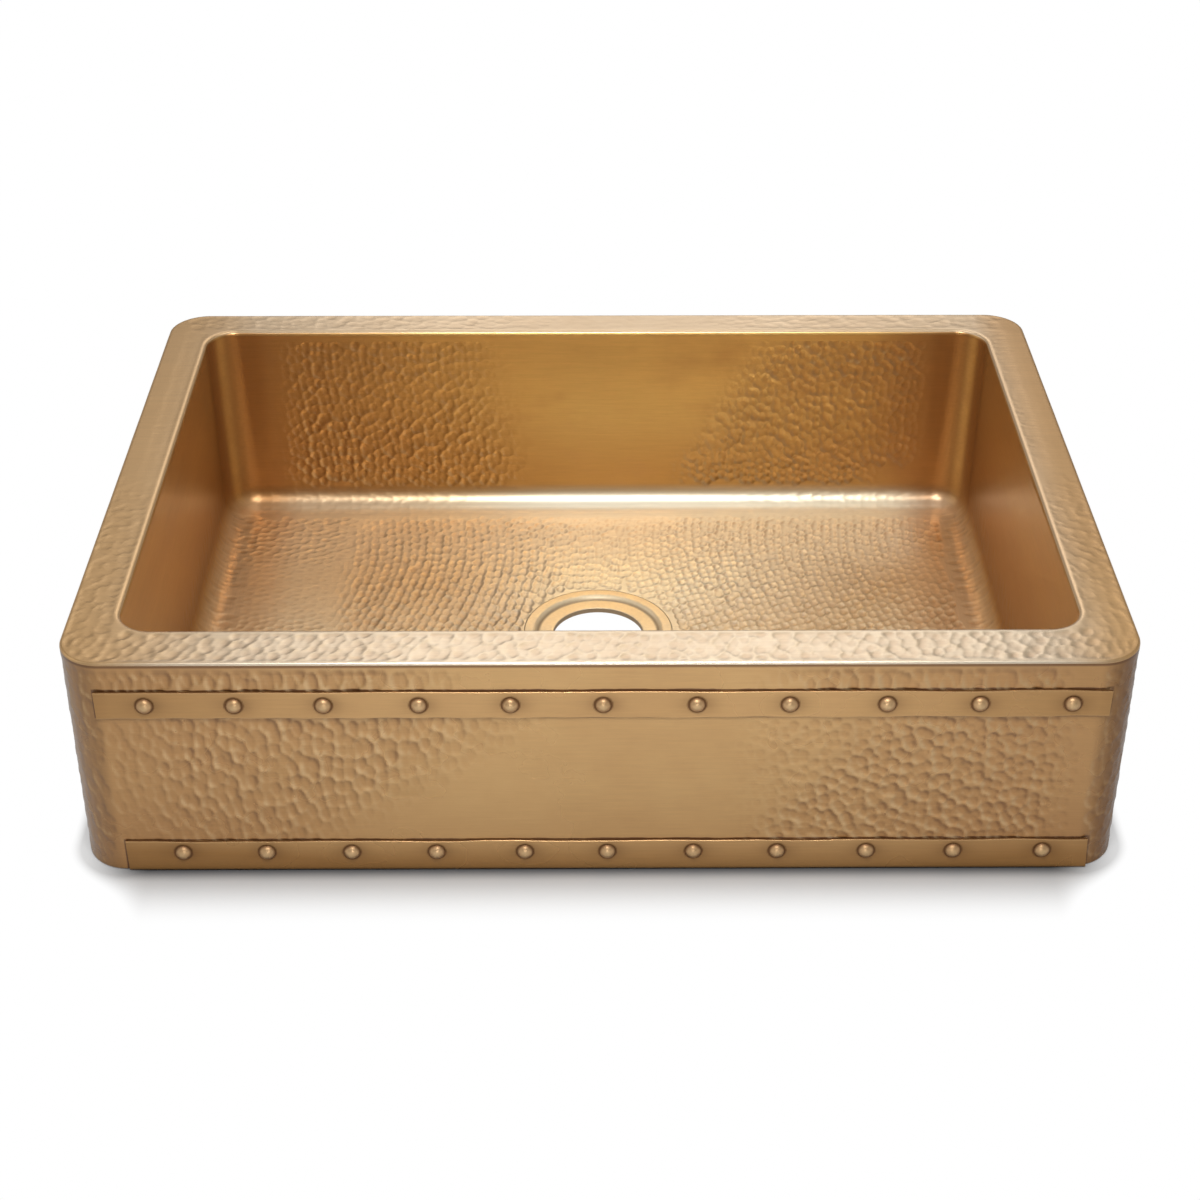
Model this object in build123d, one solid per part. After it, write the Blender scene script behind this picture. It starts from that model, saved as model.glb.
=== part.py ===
from build123d import *
import os

# Farmhouse apron front sink in hammered brass sheet, standing on the lower edge of its skirt.
# Millimetres, +Z up. The apron faces -Y. The origin is the middle of the footprint, on the floor.

# Overall sizes
overall_width = 914.4        # outside of the side skirts
skirt_depth = 669.0          # apron face to back skirt face
overall_height = 221.0
outer_corner_radius = 38.8   # upright corners of the skirt

# Sheet and fits
sheet_thickness = 2.0        # bowl, rim and skirt
fit_gap = 0.3                # room between a loose-fitted stiffener and what it stands beside
shank_clearance = 0.1        # all round a rivet's shank
same_size = 0.01             # two sizes this close are one and the same

# Rim
side_rim_width = 44.7
front_rim_width = 51.9
back_rim_width = 41.6
rim_outer_radius = 2.6       # crisp edge over the skirt
rim_inner_radius = 5.0       # soft edge into the bowl
rim_lip_depth = 12.0         # how far the rim turns down on both sides
opening_corner_radius = 30.0

# Bowl
bowl_floor_height = 10.0     # top of the floor over the surface that the sink stands on
bowl_wall_lean = 3.0         # how far each wall comes in from rim to floor
bowl_corner_radius = 38.0    # upright corners at floor level
bowl_cove_radius = 25.0      # wall into floor

# Drain seat, let into the floor
drain_behind_apron = 368.0   # from the apron face to the middle of the drain
seat_flange_radius = 76.0    # where the seat is let into the floor
seat_shoulder_radius = 67.5  # where the step starts
seat_ledge_radius = 62.0     # outside of the flat ledge
drain_radius = 46.0          # a hole for a 3-1/2 inch strainer
seat_step_depth = 3.6        # floor to ledge
drain_lip_depth = 5.4        # ledge to the lower edge of the hole
seat_shoulder_round = 6.0
seat_ledge_round = 1.2
drain_edge_round = 0.8
backing_ring_radius = 60.0
backing_ring_thickness = 2.0

# Skirt
skirt_flange_width = 24.0    # lower edge turned in under the sink
skirt_bend_radius = 2.6

# Riveted straps
strap_thickness = 2.0
strap_edge_round = 0.6
upper_strap_height = 27.6
upper_strap_below_rim = 28.2  # rim top to the strap's upper edge
upper_strap_left_inset = 31.4
upper_strap_right_inset = 27.0
lower_strap_height = 33.4
lower_strap_bottom = 0.2
lower_strap_left_inset = 41.0
lower_strap_right_inset = 28.0

# Rivets, set by eye: each stands off the even pitch by its own stray, left to right
rivet_count = 11
rivet_head_radius = 7.7
rivet_head_height = 4.6
rivet_shank_radius = 3.0
rivet_tail_radius = 5.0
rivet_tail_height = 2.4
burr_radius = 8.0
burr_thickness = 1.4
upper_rivet_rise = 13.8      # over the strap's lower edge
upper_rivet_left_margin = 42.0
upper_rivet_right_margin = 32.4
upper_rivet_strays = (0, -3, -6, -4, -5, -5, -4, -4, 0, 0, 0)
lower_rivet_rise = 21.0
lower_rivet_left_margin = 49.7
lower_rivet_right_margin = 40.7
lower_rivet_strays = (0, -2, -3, -4, -2, -5, -5, -7, -4, -3, 0)

# Stiffeners hidden between bowl and skirt
angle_leg_length = 20.0      # rim angles, behind the seam of rim and skirt
angle_thickness = 3.0
angle_outer_round = 2.0
gusset_leg_length = 90.0     # along both sides of a corner
gusset_thickness = 3.0
base_rail_width = 30.0
base_rail_spacing = 320.0    # between the two long rails, middle to middle
base_stay_spacing = 400.0    # between the two stays of a pair, middle to middle

# Sound deadening pads
pad_thickness = 4.0
floor_pad_depth = 240.0
floor_pad_side_margin = 82.5     # bowl opening to pad
floor_pad_drain_margin = 34.0    # drain seat to pad
wall_pad_long = 300.0
wall_pad_short = 240.0
wall_pad_height = 110.0
wall_pad_bottom = 60.0

# Places worked out from the sizes above
proud = strap_thickness + rivet_head_height
apron_y = proud / 2 - skirt_depth / 2
back_y = apron_y + skirt_depth
skirt_middle_y = (apron_y + back_y) / 2
half_width = overall_width / 2
opening_width = overall_width - 2 * side_rim_width
opening_front_y = apron_y + front_rim_width
opening_back_y = back_y - back_rim_width
opening_depth = opening_back_y - opening_front_y
opening_middle_y = (opening_front_y + opening_back_y) / 2
seam_height = overall_height - rim_lip_depth
drain_y = apron_y + drain_behind_apron
deck_underside = overall_height - sheet_thickness
floor_underside = bowl_floor_height - sheet_thickness
upper_strap_bottom = overall_height - upper_strap_below_rim - upper_strap_height
flange_top = sheet_thickness
inside_face_x = half_width - sheet_thickness
inside_apron_y = apron_y + sheet_thickness
inside_back_y = back_y - sheet_thickness


def rounded_block(width, depth, middle_y, radius, bottom, top):
    """An upright block with rounded corners, centred on x = 0."""
    return Pos(0, middle_y, bottom) * extrude(RectangleRounded(width, depth, radius), top - bottom)


def box_between(low, high):
    """A plain box between two corners."""
    size = [b - a for a, b in zip(low, high)]
    middle = [(a + b) / 2 for a, b in zip(low, high)]
    return Pos(*middle) * Box(*size)


def bottom_edges(solid):
    """The edges of a solid's lowest face."""
    return solid.faces().sort_by(Axis.Z)[0].edges()


def top_edges(solid):
    """The edges of a solid's highest face."""
    return solid.faces().sort_by(Axis.Z)[-1].edges()


# ---------------------------------------------------------------- bowl and drain

def bowl_form(grow):
    """The space that the bowl encloses, grown outwards by an even amount."""
    inset = grow - bowl_wall_lean
    mouth = RectangleRounded(
        opening_width + 2 * grow,
        opening_depth + 2 * grow,
        opening_corner_radius + grow,
    )
    floor = RectangleRounded(
        opening_width + 2 * inset,
        opening_depth + 2 * inset,
        bowl_corner_radius + grow,
    )
    upper = Pos(0, opening_middle_y, seam_height) * mouth
    lower = Pos(0, opening_middle_y, bowl_floor_height - grow) * floor
    form = loft([upper, lower], ruled=True)
    return fillet(bottom_edges(form), bowl_cove_radius + grow)


def make_bowl():
    """Basin: four leaning walls coved into a flat floor with a hole for the drain seat."""
    basin = bowl_form(sheet_thickness) - bowl_form(0)
    hole = Pos(0, drain_y, 0) * Cylinder(seat_flange_radius, overall_height)
    return basin - hole


def make_drain_seat():
    """Spun ring: flange level with the floor, rounded step, flat ledge and a turned-down lip."""
    ledge = bowl_floor_height - seat_step_depth
    lip_bottom = ledge - drain_lip_depth
    section = Polyline(
        (seat_flange_radius, bowl_floor_height),
        (seat_shoulder_radius, bowl_floor_height),
        (seat_ledge_radius, ledge),
        (drain_radius, ledge),
        (drain_radius, lip_bottom),
        (drain_radius + sheet_thickness, lip_bottom),
        (drain_radius + sheet_thickness, ledge - sheet_thickness),
        (seat_ledge_radius - sheet_thickness / 2, ledge - sheet_thickness),
        (seat_shoulder_radius - sheet_thickness / 2, floor_underside),
        (seat_flange_radius, floor_underside),
        close=True,
    )
    face = make_face(Plane.XZ * section)
    ring = revolve(face, Axis.Z)
    ring = fillet(circle_edges(ring, seat_shoulder_radius, bowl_floor_height), seat_shoulder_round)
    ring = fillet(circle_edges(ring, seat_ledge_radius, ledge), seat_ledge_round)
    ring = fillet(circle_edges(ring, drain_radius, ledge), drain_edge_round)
    return Pos(0, drain_y, 0) * ring


def circle_edges(ring, radius, height):
    """The circular edges of a ring about the Z axis at one radius and height."""
    found = []
    for edge in ring.edges():
        if edge.geom_type == GeomType.CIRCLE:
            if abs(edge.radius - radius) < same_size and abs(edge.arc_center.Z - height) < same_size:
                found.append(edge)
    return found


def make_drain_backing_ring():
    """Flat ring under the seat's ledge, for the strainer's nut to pull against."""
    top = bowl_floor_height - seat_step_depth - sheet_thickness
    inner = drain_radius + sheet_thickness + fit_gap
    ring = Cylinder(backing_ring_radius, backing_ring_thickness) - Cylinder(inner, backing_ring_thickness)
    return Pos(0, drain_y, top - backing_ring_thickness / 2) * ring


# ---------------------------------------------------------------- rim and skirt

def make_rim_deck():
    """Flat rim all round the bowl, turned down to the skirt outside and to the bowl inside."""
    outer = rounded_block(
        overall_width, skirt_depth, skirt_middle_y, outer_corner_radius, seam_height, overall_height
    )
    outer = fillet(top_edges(outer), rim_outer_radius)
    opening = rounded_block(
        opening_width, opening_depth, opening_middle_y, opening_corner_radius, seam_height, overall_height
    )
    rim = outer - opening
    rim = fillet(mouth_edges(rim, 0), rim_inner_radius)
    return rim - rim_hollow()


def mouth_edges(solid, grow):
    """The top edges of a solid that run round the bowl's opening, grown outwards by an even amount."""
    reach = grow + same_size
    half = opening_width / 2 + reach
    front = opening_front_y - reach
    back = opening_back_y + reach
    found = []
    for edge in top_edges(solid):
        middle = edge.center()
        if abs(middle.X) < half and front < middle.Y < back:
            found.append(edge)
    return found


def rim_hollow():
    """The space under the rim deck, one sheet inside its surfaces."""
    outer = rounded_block(
        overall_width - 2 * sheet_thickness,
        skirt_depth - 2 * sheet_thickness,
        skirt_middle_y,
        outer_corner_radius - sheet_thickness,
        seam_height,
        deck_underside,
    )
    outer = fillet(top_edges(outer), rim_outer_radius - sheet_thickness)
    inner = rounded_block(
        opening_width + 2 * sheet_thickness,
        opening_depth + 2 * sheet_thickness,
        opening_middle_y,
        opening_corner_radius + sheet_thickness,
        seam_height,
        deck_underside,
    )
    hollow = outer - inner
    return fillet(mouth_edges(hollow, sheet_thickness), rim_inner_radius - sheet_thickness)


def make_skirt():
    """The whole skirt before it is cut into panels: upright sheet with its lower edge turned in."""
    outer = rounded_block(overall_width, skirt_depth, skirt_middle_y, outer_corner_radius, 0, seam_height)
    outer = fillet(bottom_edges(outer), skirt_bend_radius)
    hollow = rounded_block(
        overall_width - 2 * sheet_thickness,
        skirt_depth - 2 * sheet_thickness,
        skirt_middle_y,
        outer_corner_radius - sheet_thickness,
        flange_top,
        seam_height,
    )
    hollow = fillet(bottom_edges(hollow), skirt_bend_radius - sheet_thickness)
    window = rounded_block(
        overall_width - 2 * skirt_flange_width,
        skirt_depth - 2 * skirt_flange_width,
        skirt_middle_y,
        outer_corner_radius - skirt_flange_width,
        0,
        flange_top,
    )
    return outer - hollow - window


def rivet_places(left_inset, right_inset, left_margin, right_margin, strays, height):
    """The middles of a strap's rivets, from left to right."""
    first = -half_width + left_inset + left_margin
    last = half_width - right_inset - right_margin
    pitch = (last - first) / (rivet_count - 1)
    return [(first + i * pitch + strays[i % len(strays)], height) for i in range(rivet_count)]


upper_rivet_places = rivet_places(
    upper_strap_left_inset,
    upper_strap_right_inset,
    upper_rivet_left_margin,
    upper_rivet_right_margin,
    upper_rivet_strays,
    upper_strap_bottom + upper_rivet_rise,
)
lower_rivet_places = rivet_places(
    lower_strap_left_inset,
    lower_strap_right_inset,
    lower_rivet_left_margin,
    lower_rivet_right_margin,
    lower_rivet_strays,
    lower_strap_bottom + lower_rivet_rise,
)


def on_apron(solid, x, height, y):
    """A solid made along +Z, turned to run towards the viewer of the apron and set at a place on it."""
    return Pos(x, y, height) * Rot(90, 0, 0) * solid


def rivet_holes(places):
    """Round cutters through strap and apron, one at each rivet."""
    radius = rivet_shank_radius + shank_clearance
    length = 4 * (sheet_thickness + strap_thickness)
    return [on_apron(Cylinder(radius, length), x, height, apron_y) for x, height in places]


def make_panels():
    """The skirt cut where its corners start: front and back panels keep the rounded corners."""
    skirt = make_skirt()
    front_seam = apron_y + outer_corner_radius
    back_seam = back_y - outer_corner_radius
    reach = overall_width
    front = skirt & box_between((-reach, apron_y - reach, -reach), (reach, front_seam, reach))
    back = skirt & box_between((-reach, back_seam, -reach), (reach, back_y + reach, reach))
    left = skirt & box_between((-reach, front_seam, -reach), (0, back_seam, reach))
    right = skirt & box_between((0, front_seam, -reach), (reach, back_seam, reach))
    front = front - rivet_holes(upper_rivet_places + lower_rivet_places)
    return {"apron_front": front, "back_panel": back, "left_side_panel": left, "right_side_panel": right}


# ---------------------------------------------------------------- straps and rivets

def make_strap(left_inset, right_inset, bottom, height, places):
    """Flat bar across the apron, drilled for its rivets."""
    bar = box_between(
        (-half_width + left_inset, apron_y - strap_thickness, bottom),
        (half_width - right_inset, apron_y, bottom + height),
    )
    front_edges = bar.faces().sort_by(Axis.Y)[0].edges()
    return fillet(front_edges, strap_edge_round) - rivet_holes(places)


def make_rivet():
    """Rivet along +Z: domed head above z = 0, shank down through strap and apron, peened tail."""
    sphere = (rivet_head_radius**2 + rivet_head_height**2) / (2 * rivet_head_height)
    head = dome(rivet_head_radius, rivet_head_height, sphere)
    grip = strap_thickness + sheet_thickness + burr_thickness
    shank = Pos(0, 0, -grip / 2) * Cylinder(rivet_shank_radius, grip)
    tail_sphere = (rivet_tail_radius**2 + rivet_tail_height**2) / (2 * rivet_tail_height)
    tail = Pos(0, 0, -grip) * Rot(180, 0, 0) * dome(rivet_tail_radius, rivet_tail_height, tail_sphere)
    return head + shank + tail


def dome(radius, height, sphere_radius):
    """Cap of a sphere standing on z = 0."""
    ball = Pos(0, 0, height - sphere_radius) * Sphere(sphere_radius)
    return ball & Pos(0, 0, height / 2) * Cylinder(radius, height)


def make_rivets(places):
    """One rivet at each place, heads on the strap."""
    rivet = make_rivet()
    return Compound(children=[on_apron(rivet, x, z, apron_y - strap_thickness) for x, z in places])


def make_burrs(places):
    """Small washers behind the apron, one under each rivet's tail."""
    hole = Cylinder(rivet_shank_radius + shank_clearance, burr_thickness)
    burr = Cylinder(burr_radius, burr_thickness) - hole
    middle_y = inside_apron_y + burr_thickness / 2
    return Compound(children=[on_apron(burr, x, z, middle_y) for x, z in places])


# ---------------------------------------------------------------- stiffeners

def angle_bar(length):
    """Angle along X with its outer corner on the X axis, legs towards +Y and -Z."""
    flat = box_between((-length / 2, 0, -angle_thickness), (length / 2, angle_leg_length, 0))
    upright = box_between((-length / 2, 0, -angle_leg_length), (length / 2, angle_thickness, 0))
    bar = flat + upright
    corner = bar.edges().filter_by(Axis.X).sort_by(lambda edge: edge.center().Y - edge.center().Z)[0]
    return fillet(corner, angle_outer_round)


def make_rim_angles():
    """Four angles behind the seam of rim and skirt, between the corner gussets."""
    long_bar = angle_bar(overall_width - 2 * (gusset_leg_length + fit_gap))
    short_bar = angle_bar(skirt_depth - 2 * (gusset_leg_length + fit_gap))
    return {
        "front_rim_angle": Pos(0, inside_apron_y, deck_underside) * long_bar,
        "back_rim_angle": Pos(0, inside_back_y, deck_underside) * Rot(0, 0, 180) * long_bar,
        "left_rim_angle": Pos(-inside_face_x, skirt_middle_y, deck_underside) * Rot(0, 0, -90) * short_bar,
        "right_rim_angle": Pos(inside_face_x, skirt_middle_y, deck_underside) * Rot(0, 0, 90) * short_bar,
    }


def make_gussets():
    """Plates under the rim's corners, filling the space between the skirt and the bowl."""
    inset = rim_outer_radius + fit_gap
    bottom = deck_underside - gusset_thickness
    outer = rounded_block(
        overall_width - 2 * inset,
        skirt_depth - 2 * inset,
        skirt_middle_y,
        outer_corner_radius - inset,
        bottom,
        deck_underside,
    )
    grow = rim_inner_radius + fit_gap
    inner = rounded_block(
        opening_width + 2 * grow,
        opening_depth + 2 * grow,
        opening_middle_y,
        opening_corner_radius + grow,
        bottom,
        deck_underside,
    )
    plate = outer - inner
    gussets = {}
    for x_name, x_sign in (("left", -1), ("right", 1)):
        for y_name, y_edge, y_sign in (("front", apron_y, 1), ("back", back_y, -1)):
            middle_x = x_sign * (half_width - gusset_leg_length / 2)
            middle_y = y_edge + y_sign * gusset_leg_length / 2
            square = Box(gusset_leg_length, gusset_leg_length, 4 * gusset_thickness)
            corner = Pos(middle_x, middle_y, deck_underside) * square
            gussets[y_name + "_" + x_name + "_gusset"] = plate & corner
    return gussets


def make_base_frame():
    """Flat bars under the bowl: two long rails on the side flanges, two stays to front and back."""
    half_spacing = base_rail_spacing / 2
    front_rail_y = opening_middle_y - half_spacing
    back_rail_y = opening_middle_y + half_spacing
    end_gap = skirt_bend_radius - sheet_thickness + fit_gap
    end_x = inside_face_x - end_gap
    half_rail = base_rail_width / 2
    rails = {}
    for name, middle in (("front_base_rail", front_rail_y), ("back_base_rail", back_rail_y)):
        rails[name] = box_between(
            (-end_x, middle - half_rail, flange_top), (end_x, middle + half_rail, floor_underside)
        )
    spans = {
        "front_base_stays": (inside_apron_y + end_gap, front_rail_y - half_rail),
        "back_base_stays": (back_rail_y + half_rail, inside_back_y - end_gap),
    }
    for name, (start, end) in spans.items():
        pair = []
        for x in (-base_stay_spacing / 2, base_stay_spacing / 2):
            low = (x - half_rail, start, flange_top)
            high = (x + half_rail, end, floor_underside)
            pair.append(box_between(low, high))
        rails[name] = Compound(children=pair)
    return rails


# ---------------------------------------------------------------- pads

def make_pads():
    """Rubber pads stuck to the outside of the bowl: two under the floor, one on each wall."""
    pads = {}
    inner_x = seat_flange_radius + floor_pad_drain_margin
    outer_x = opening_width / 2 - floor_pad_side_margin
    for name, side in (("left_floor_pad", -1), ("right_floor_pad", 1)):
        middle = (side * (inner_x + outer_x) / 2, opening_middle_y, floor_underside - pad_thickness / 2)
        pads[name] = Pos(*middle) * Box(outer_x - inner_x, floor_pad_depth, pad_thickness)
    layer = bowl_form(sheet_thickness + pad_thickness) - bowl_form(sheet_thickness)
    low = wall_pad_bottom
    high = wall_pad_bottom + wall_pad_height
    long_half = wall_pad_long / 2
    short_low = opening_middle_y - wall_pad_short / 2
    short_high = opening_middle_y + wall_pad_short / 2
    boxes = {
        "front_wall_pad": ((-long_half, apron_y, low), (long_half, opening_middle_y, high)),
        "back_wall_pad": ((-long_half, opening_middle_y, low), (long_half, back_y, high)),
        "left_wall_pad": ((-half_width, short_low, low), (0, short_high, high)),
        "right_wall_pad": ((0, short_low, low), (half_width, short_high, high)),
    }
    for name, (corner_low, corner_high) in boxes.items():
        pads[name] = layer & box_between(corner_low, corner_high)
    return pads


def make_all():
    """Every piece of the sink, by name."""
    pieces = {
        "bowl": make_bowl(),
        "drain_seat": make_drain_seat(),
        "drain_backing_ring": make_drain_backing_ring(),
        "rim_deck": make_rim_deck(),
        "upper_strap": make_strap(
            upper_strap_left_inset,
            upper_strap_right_inset,
            upper_strap_bottom,
            upper_strap_height,
            upper_rivet_places,
        ),
        "lower_strap": make_strap(
            lower_strap_left_inset,
            lower_strap_right_inset,
            lower_strap_bottom,
            lower_strap_height,
            lower_rivet_places,
        ),
        "upper_strap_rivets": make_rivets(upper_rivet_places),
        "lower_strap_rivets": make_rivets(lower_rivet_places),
        "upper_rivet_burrs": make_burrs(upper_rivet_places),
        "lower_rivet_burrs": make_burrs(lower_rivet_places),
    }
    for group in (make_panels(), make_rim_angles(), make_gussets(), make_base_frame(), make_pads()):
        pieces.update(group)
    return pieces


os.makedirs("parts", exist_ok=True)
for node, shape in make_all().items():
    export_step(shape, "parts/" + node + ".step")
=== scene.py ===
import math
import random

import bpy
import numpy as np
from bpy.props import FloatProperty, FloatVectorProperty, IntProperty, PointerProperty
from mathutils import Matrix, Vector, kdtree


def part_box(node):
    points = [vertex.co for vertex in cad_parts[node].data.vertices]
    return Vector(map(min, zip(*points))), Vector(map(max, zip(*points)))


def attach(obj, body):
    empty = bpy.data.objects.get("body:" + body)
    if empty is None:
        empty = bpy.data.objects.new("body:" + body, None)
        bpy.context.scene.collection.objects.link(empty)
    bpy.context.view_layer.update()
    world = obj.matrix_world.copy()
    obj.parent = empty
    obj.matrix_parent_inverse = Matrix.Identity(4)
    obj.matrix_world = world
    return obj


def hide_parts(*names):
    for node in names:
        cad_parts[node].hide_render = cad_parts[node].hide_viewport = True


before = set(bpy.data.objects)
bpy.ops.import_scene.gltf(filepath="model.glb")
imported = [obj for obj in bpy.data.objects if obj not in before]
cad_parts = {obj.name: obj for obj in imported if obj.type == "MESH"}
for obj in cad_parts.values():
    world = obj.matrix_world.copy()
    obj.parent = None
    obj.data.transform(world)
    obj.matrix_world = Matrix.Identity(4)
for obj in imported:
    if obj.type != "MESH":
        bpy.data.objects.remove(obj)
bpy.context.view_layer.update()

bl_info = {
    "name": "Hammered Brass Apron Front Sink",
    "version": (1, 0, 0),
    "blender": (4, 5, 0),
    "location": "3D View > Sidebar > Brass Sink",
    "description": "Hammers, rivets and finishes a brass farmhouse sink, piece by piece",
    "category": "Mesh",
}

# ---------------------------------------------------------------- places
# Everything here is in millimetres, read off the frame's boxes or named for the piece.
MM = 0.001


def box_mm(node):
    low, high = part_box(node)
    return np.array(low) / MM, np.array(high) / MM


DECK_HIGH = box_mm("rim_deck")[1]
APRON_LOW, APRON_HIGH = box_mm("apron_front")
SEAT_LOW, SEAT_HIGH = box_mm("drain_seat")

APRON_FACE = APRON_LOW[1]
BACK_FACE = box_mm("back_panel")[1][1]
HALF_WIDTH = DECK_HIGH[0]
RIM_TOP = DECK_HIGH[2]
RIM_WIDTH = 44.7
SEAM_HEIGHT = APRON_HIGH[2]
OUTER_RADIUS = 38.8
OUTER_BOX = (-HALF_WIDTH, HALF_WIDTH, APRON_FACE, BACK_FACE)
MOUTH_BOX = (-412.5, 412.5, -279.3, 296.2)
MOUTH_RADIUS = 30.0
FLOOR_BOX = (-409.5, 409.5, -276.3, 293.2)
FLOOR_RADIUS = 38.0
FLOOR_HEIGHT = SEAT_HIGH[2]
COVE_RADIUS = 25.0
RIM_OUTER_ROUND = 2.6
RIM_INNER_ROUND = 5.0
SKIRT_BEND = 2.6
SKIRT_FLANGE = 24.0
SHEET = 2.0
STRAP_EDGE = 0.45
STRAP_FOOT_BEND = 3.4
SEAT_LEDGE = 3.6
DRAIN = np.array(((SEAT_LOW[0] + SEAT_HIGH[0]) / 2, (SEAT_LOW[1] + SEAT_HIGH[1]) / 2))
SEAT_FLANGE = (SEAT_HIGH[0] - SEAT_LOW[0]) / 2
PATCH_HALF = 88.0
CORNER_X = FLOOR_BOX[1] - FLOOR_RADIUS
CORNER_FRONT = FLOOR_BOX[2] + FLOOR_RADIUS
CORNER_BACK = FLOOR_BOX[3] - FLOOR_RADIUS

# How far apart the points of the sheets are.
APRON_GRID, RIM_GRID, BOWL_GRID, BOWL_SIDE_GRID, BOWL_FRONT_GRID, SKIRT_GRID = 1.55, 1.6, 1.6, 1.7, 2.2, 2.3
STRAP_GRID_LONG, STRAP_GRID_HIGH = 1.1, 1.2

SIDES = ("front", "front_right", "right", "back_right", "back", "back_left", "left", "front_left")
UP = np.array((0.0, 0.0, 1.0))
DEEP = np.array((0.0, 1.0, 0.0))
ACROSS = np.array((1.0, 0.0, 0.0))
# The fixed direction of a painted light: the sides of a hammer mark that lean towards it are painted lighter, and those
# that lean away are painted darker.
PAINTED_LIGHT_FROM = np.array((0.66, -0.52, 0.54))

# Textures of the brass: how fine, how many layers and how rough these are.
CLOUDS, BLOTCHES = (7.0, 4.0, 0.6), (30.0, 3.0, 0.5)
FINE_LINES, BROAD_LINES = (14.0, 5.0, 0.6), (14.0, 3.0, 0.6)

# Colours that belong to one place on the sink. Most of them paint light or shade: the tint on the shaded side of
# each hammer mark, the darkened right front corner, the darker ends and foot of the straps (tarnish and shade), the
# darker bowl walls and the bands beside the bowl's back corners are painted shade; the highlight along the rim's
# front lip, the golden stripe down each back corner of the bowl and two pale patches of the bowl's floor are painted
# light. The apron's and the rivets' brass and the sound pads' dust are the pieces' own colours.
PAINTED_SHADE_TINT = (0.50, 0.42, 0.34)
APRON_BRASS, RIVET_BRASS = (0.60, 0.36, 0.138), (0.60, 0.38, 0.19)
RIGHT_CORNER, LIP_HIGHLIGHT, STRAP_TARNISH_AND_SHADE = (0.20, 0.09, 0.03), (0.95, 0.86, 0.70), (0.375, 0.18, 0.045)
WALL_SHADE, TURN_SHADE, TURN_HIGHLIGHT = (0.42, 0.205, 0.048), (0.36, 0.17, 0.04), (0.86, 0.50, 0.13)
FLOOR_LIT_PATCH, FLOOR_REAR_LIT, RUBBER_DUST = (0.85, 0.84, 0.72), (1.0, 0.88, 0.64), (0.10, 0.098, 0.095)


# ---------------------------------------------------------------- what a user would change
def number_setting(name, description, default, low, high, **kind):
    return FloatProperty(name=name, description=description, default=default, min=low, max=high, **kind)


def colour_setting(name, description, default):
    return FloatVectorProperty(name=name, description=description, default=default, size=3, min=0.0, max=1.0,
                               subtype="COLOR")


class SinkHammering(bpy.types.PropertyGroup):
    mark_depth: number_setting(
        "Mark Depth", "How deep the hammer marks are pressed, against their drawn depth", 1.0, 0.0, 1.5,
        subtype="FACTOR")
    waviness: number_setting(
        "Waviness", "How far the sheets sink between high spots", 0.00035, 0.0, 0.002, unit="LENGTH")
    wave_size: number_setting(
        "Wave Size", "How far apart the high spots of the sheets are", 0.075, 0.01, 0.5, unit="LENGTH")
    seed: IntProperty(
        name="Seed", description="Another number lays the marks another way", default=7, min=0)


class SinkFixings(bpy.types.PropertyGroup):
    head_radius: number_setting(
        "Rivet Head Radius", "Radius of a rivet's domed head", 0.0077, 0.004, 0.009, unit="LENGTH")
    head_height: number_setting(
        "Rivet Head Height", "How far a head stands off its strap", 0.0046, 0.002, 0.0046, unit="LENGTH")
    unevenness: number_setting(
        "Unevenness", "How much the hand-set heads differ", 0.06, 0.0, 0.2, subtype="FACTOR")
    strap_wander: number_setting(
        "Strap Wander", "How far a strap's sheared edges leave a straight line", 0.0006, 0.0, 0.002, unit="LENGTH")


class SinkFinish(bpy.types.PropertyGroup):
    # Aged Brass also paints shade, Worn Brass also paints highlights and the Crevice colour also paints shadow lines.
    # The rim's Pale Brass and the Floor Brass are lighter copies of the brass, standing for the brighter light that
    # falls on the rim and on the floor.
    brass: colour_setting("Brass", "Clean brass", (0.575, 0.335, 0.128))
    pale: colour_setting("Pale Brass", "Satin brass of the rim", (0.77, 0.64, 0.47))
    lit_floor_brass: colour_setting("Floor Brass", "Palest brass, on the bowl's floor and drain seat", (0.83, 0.68, 0.44))
    gold: colour_setting("Golden Brass", "Deeper brass of the bowl's walls", (0.78, 0.50, 0.158))
    aged_and_shade: colour_setting("Aged Brass", "Brass that has darkened", (0.42, 0.205, 0.066))
    worn_and_sheen: colour_setting("Worn Brass", "Brass rubbed bright on ridges and edges", (0.68, 0.48, 0.25))
    crevice_and_shadow: colour_setting("Crevice", "The dark line where pieces meet", (0.145, 0.060, 0.018))
    rubber: colour_setting("Rubber", "Sound pads under the sink", (0.035, 0.034, 0.033))


class SinkStudio(bpy.types.PropertyGroup):
    floor: colour_setting("Floor", "Colour of the floor", (0.60, 0.60, 0.60))
    lens: number_setting("Lens", "Focal length on a 36 mm sensor", 66.245, 10.0, 300.0, unit="CAMERA")
    surround: number_setting("Surround", "Brightness of the studio all round", 1.0, 0.0, 4.0)


GROUPS = (("sink_hammering", SinkHammering), ("sink_fixings", SinkFixings), ("sink_finish", SinkFinish),
          ("sink_studio", SinkStudio))


def hammering():
    return bpy.context.scene.sink_hammering


def fixings():
    return bpy.context.scene.sink_fixings


def finish():
    return bpy.context.scene.sink_finish


def studio():
    return bpy.context.scene.sink_studio


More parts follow.
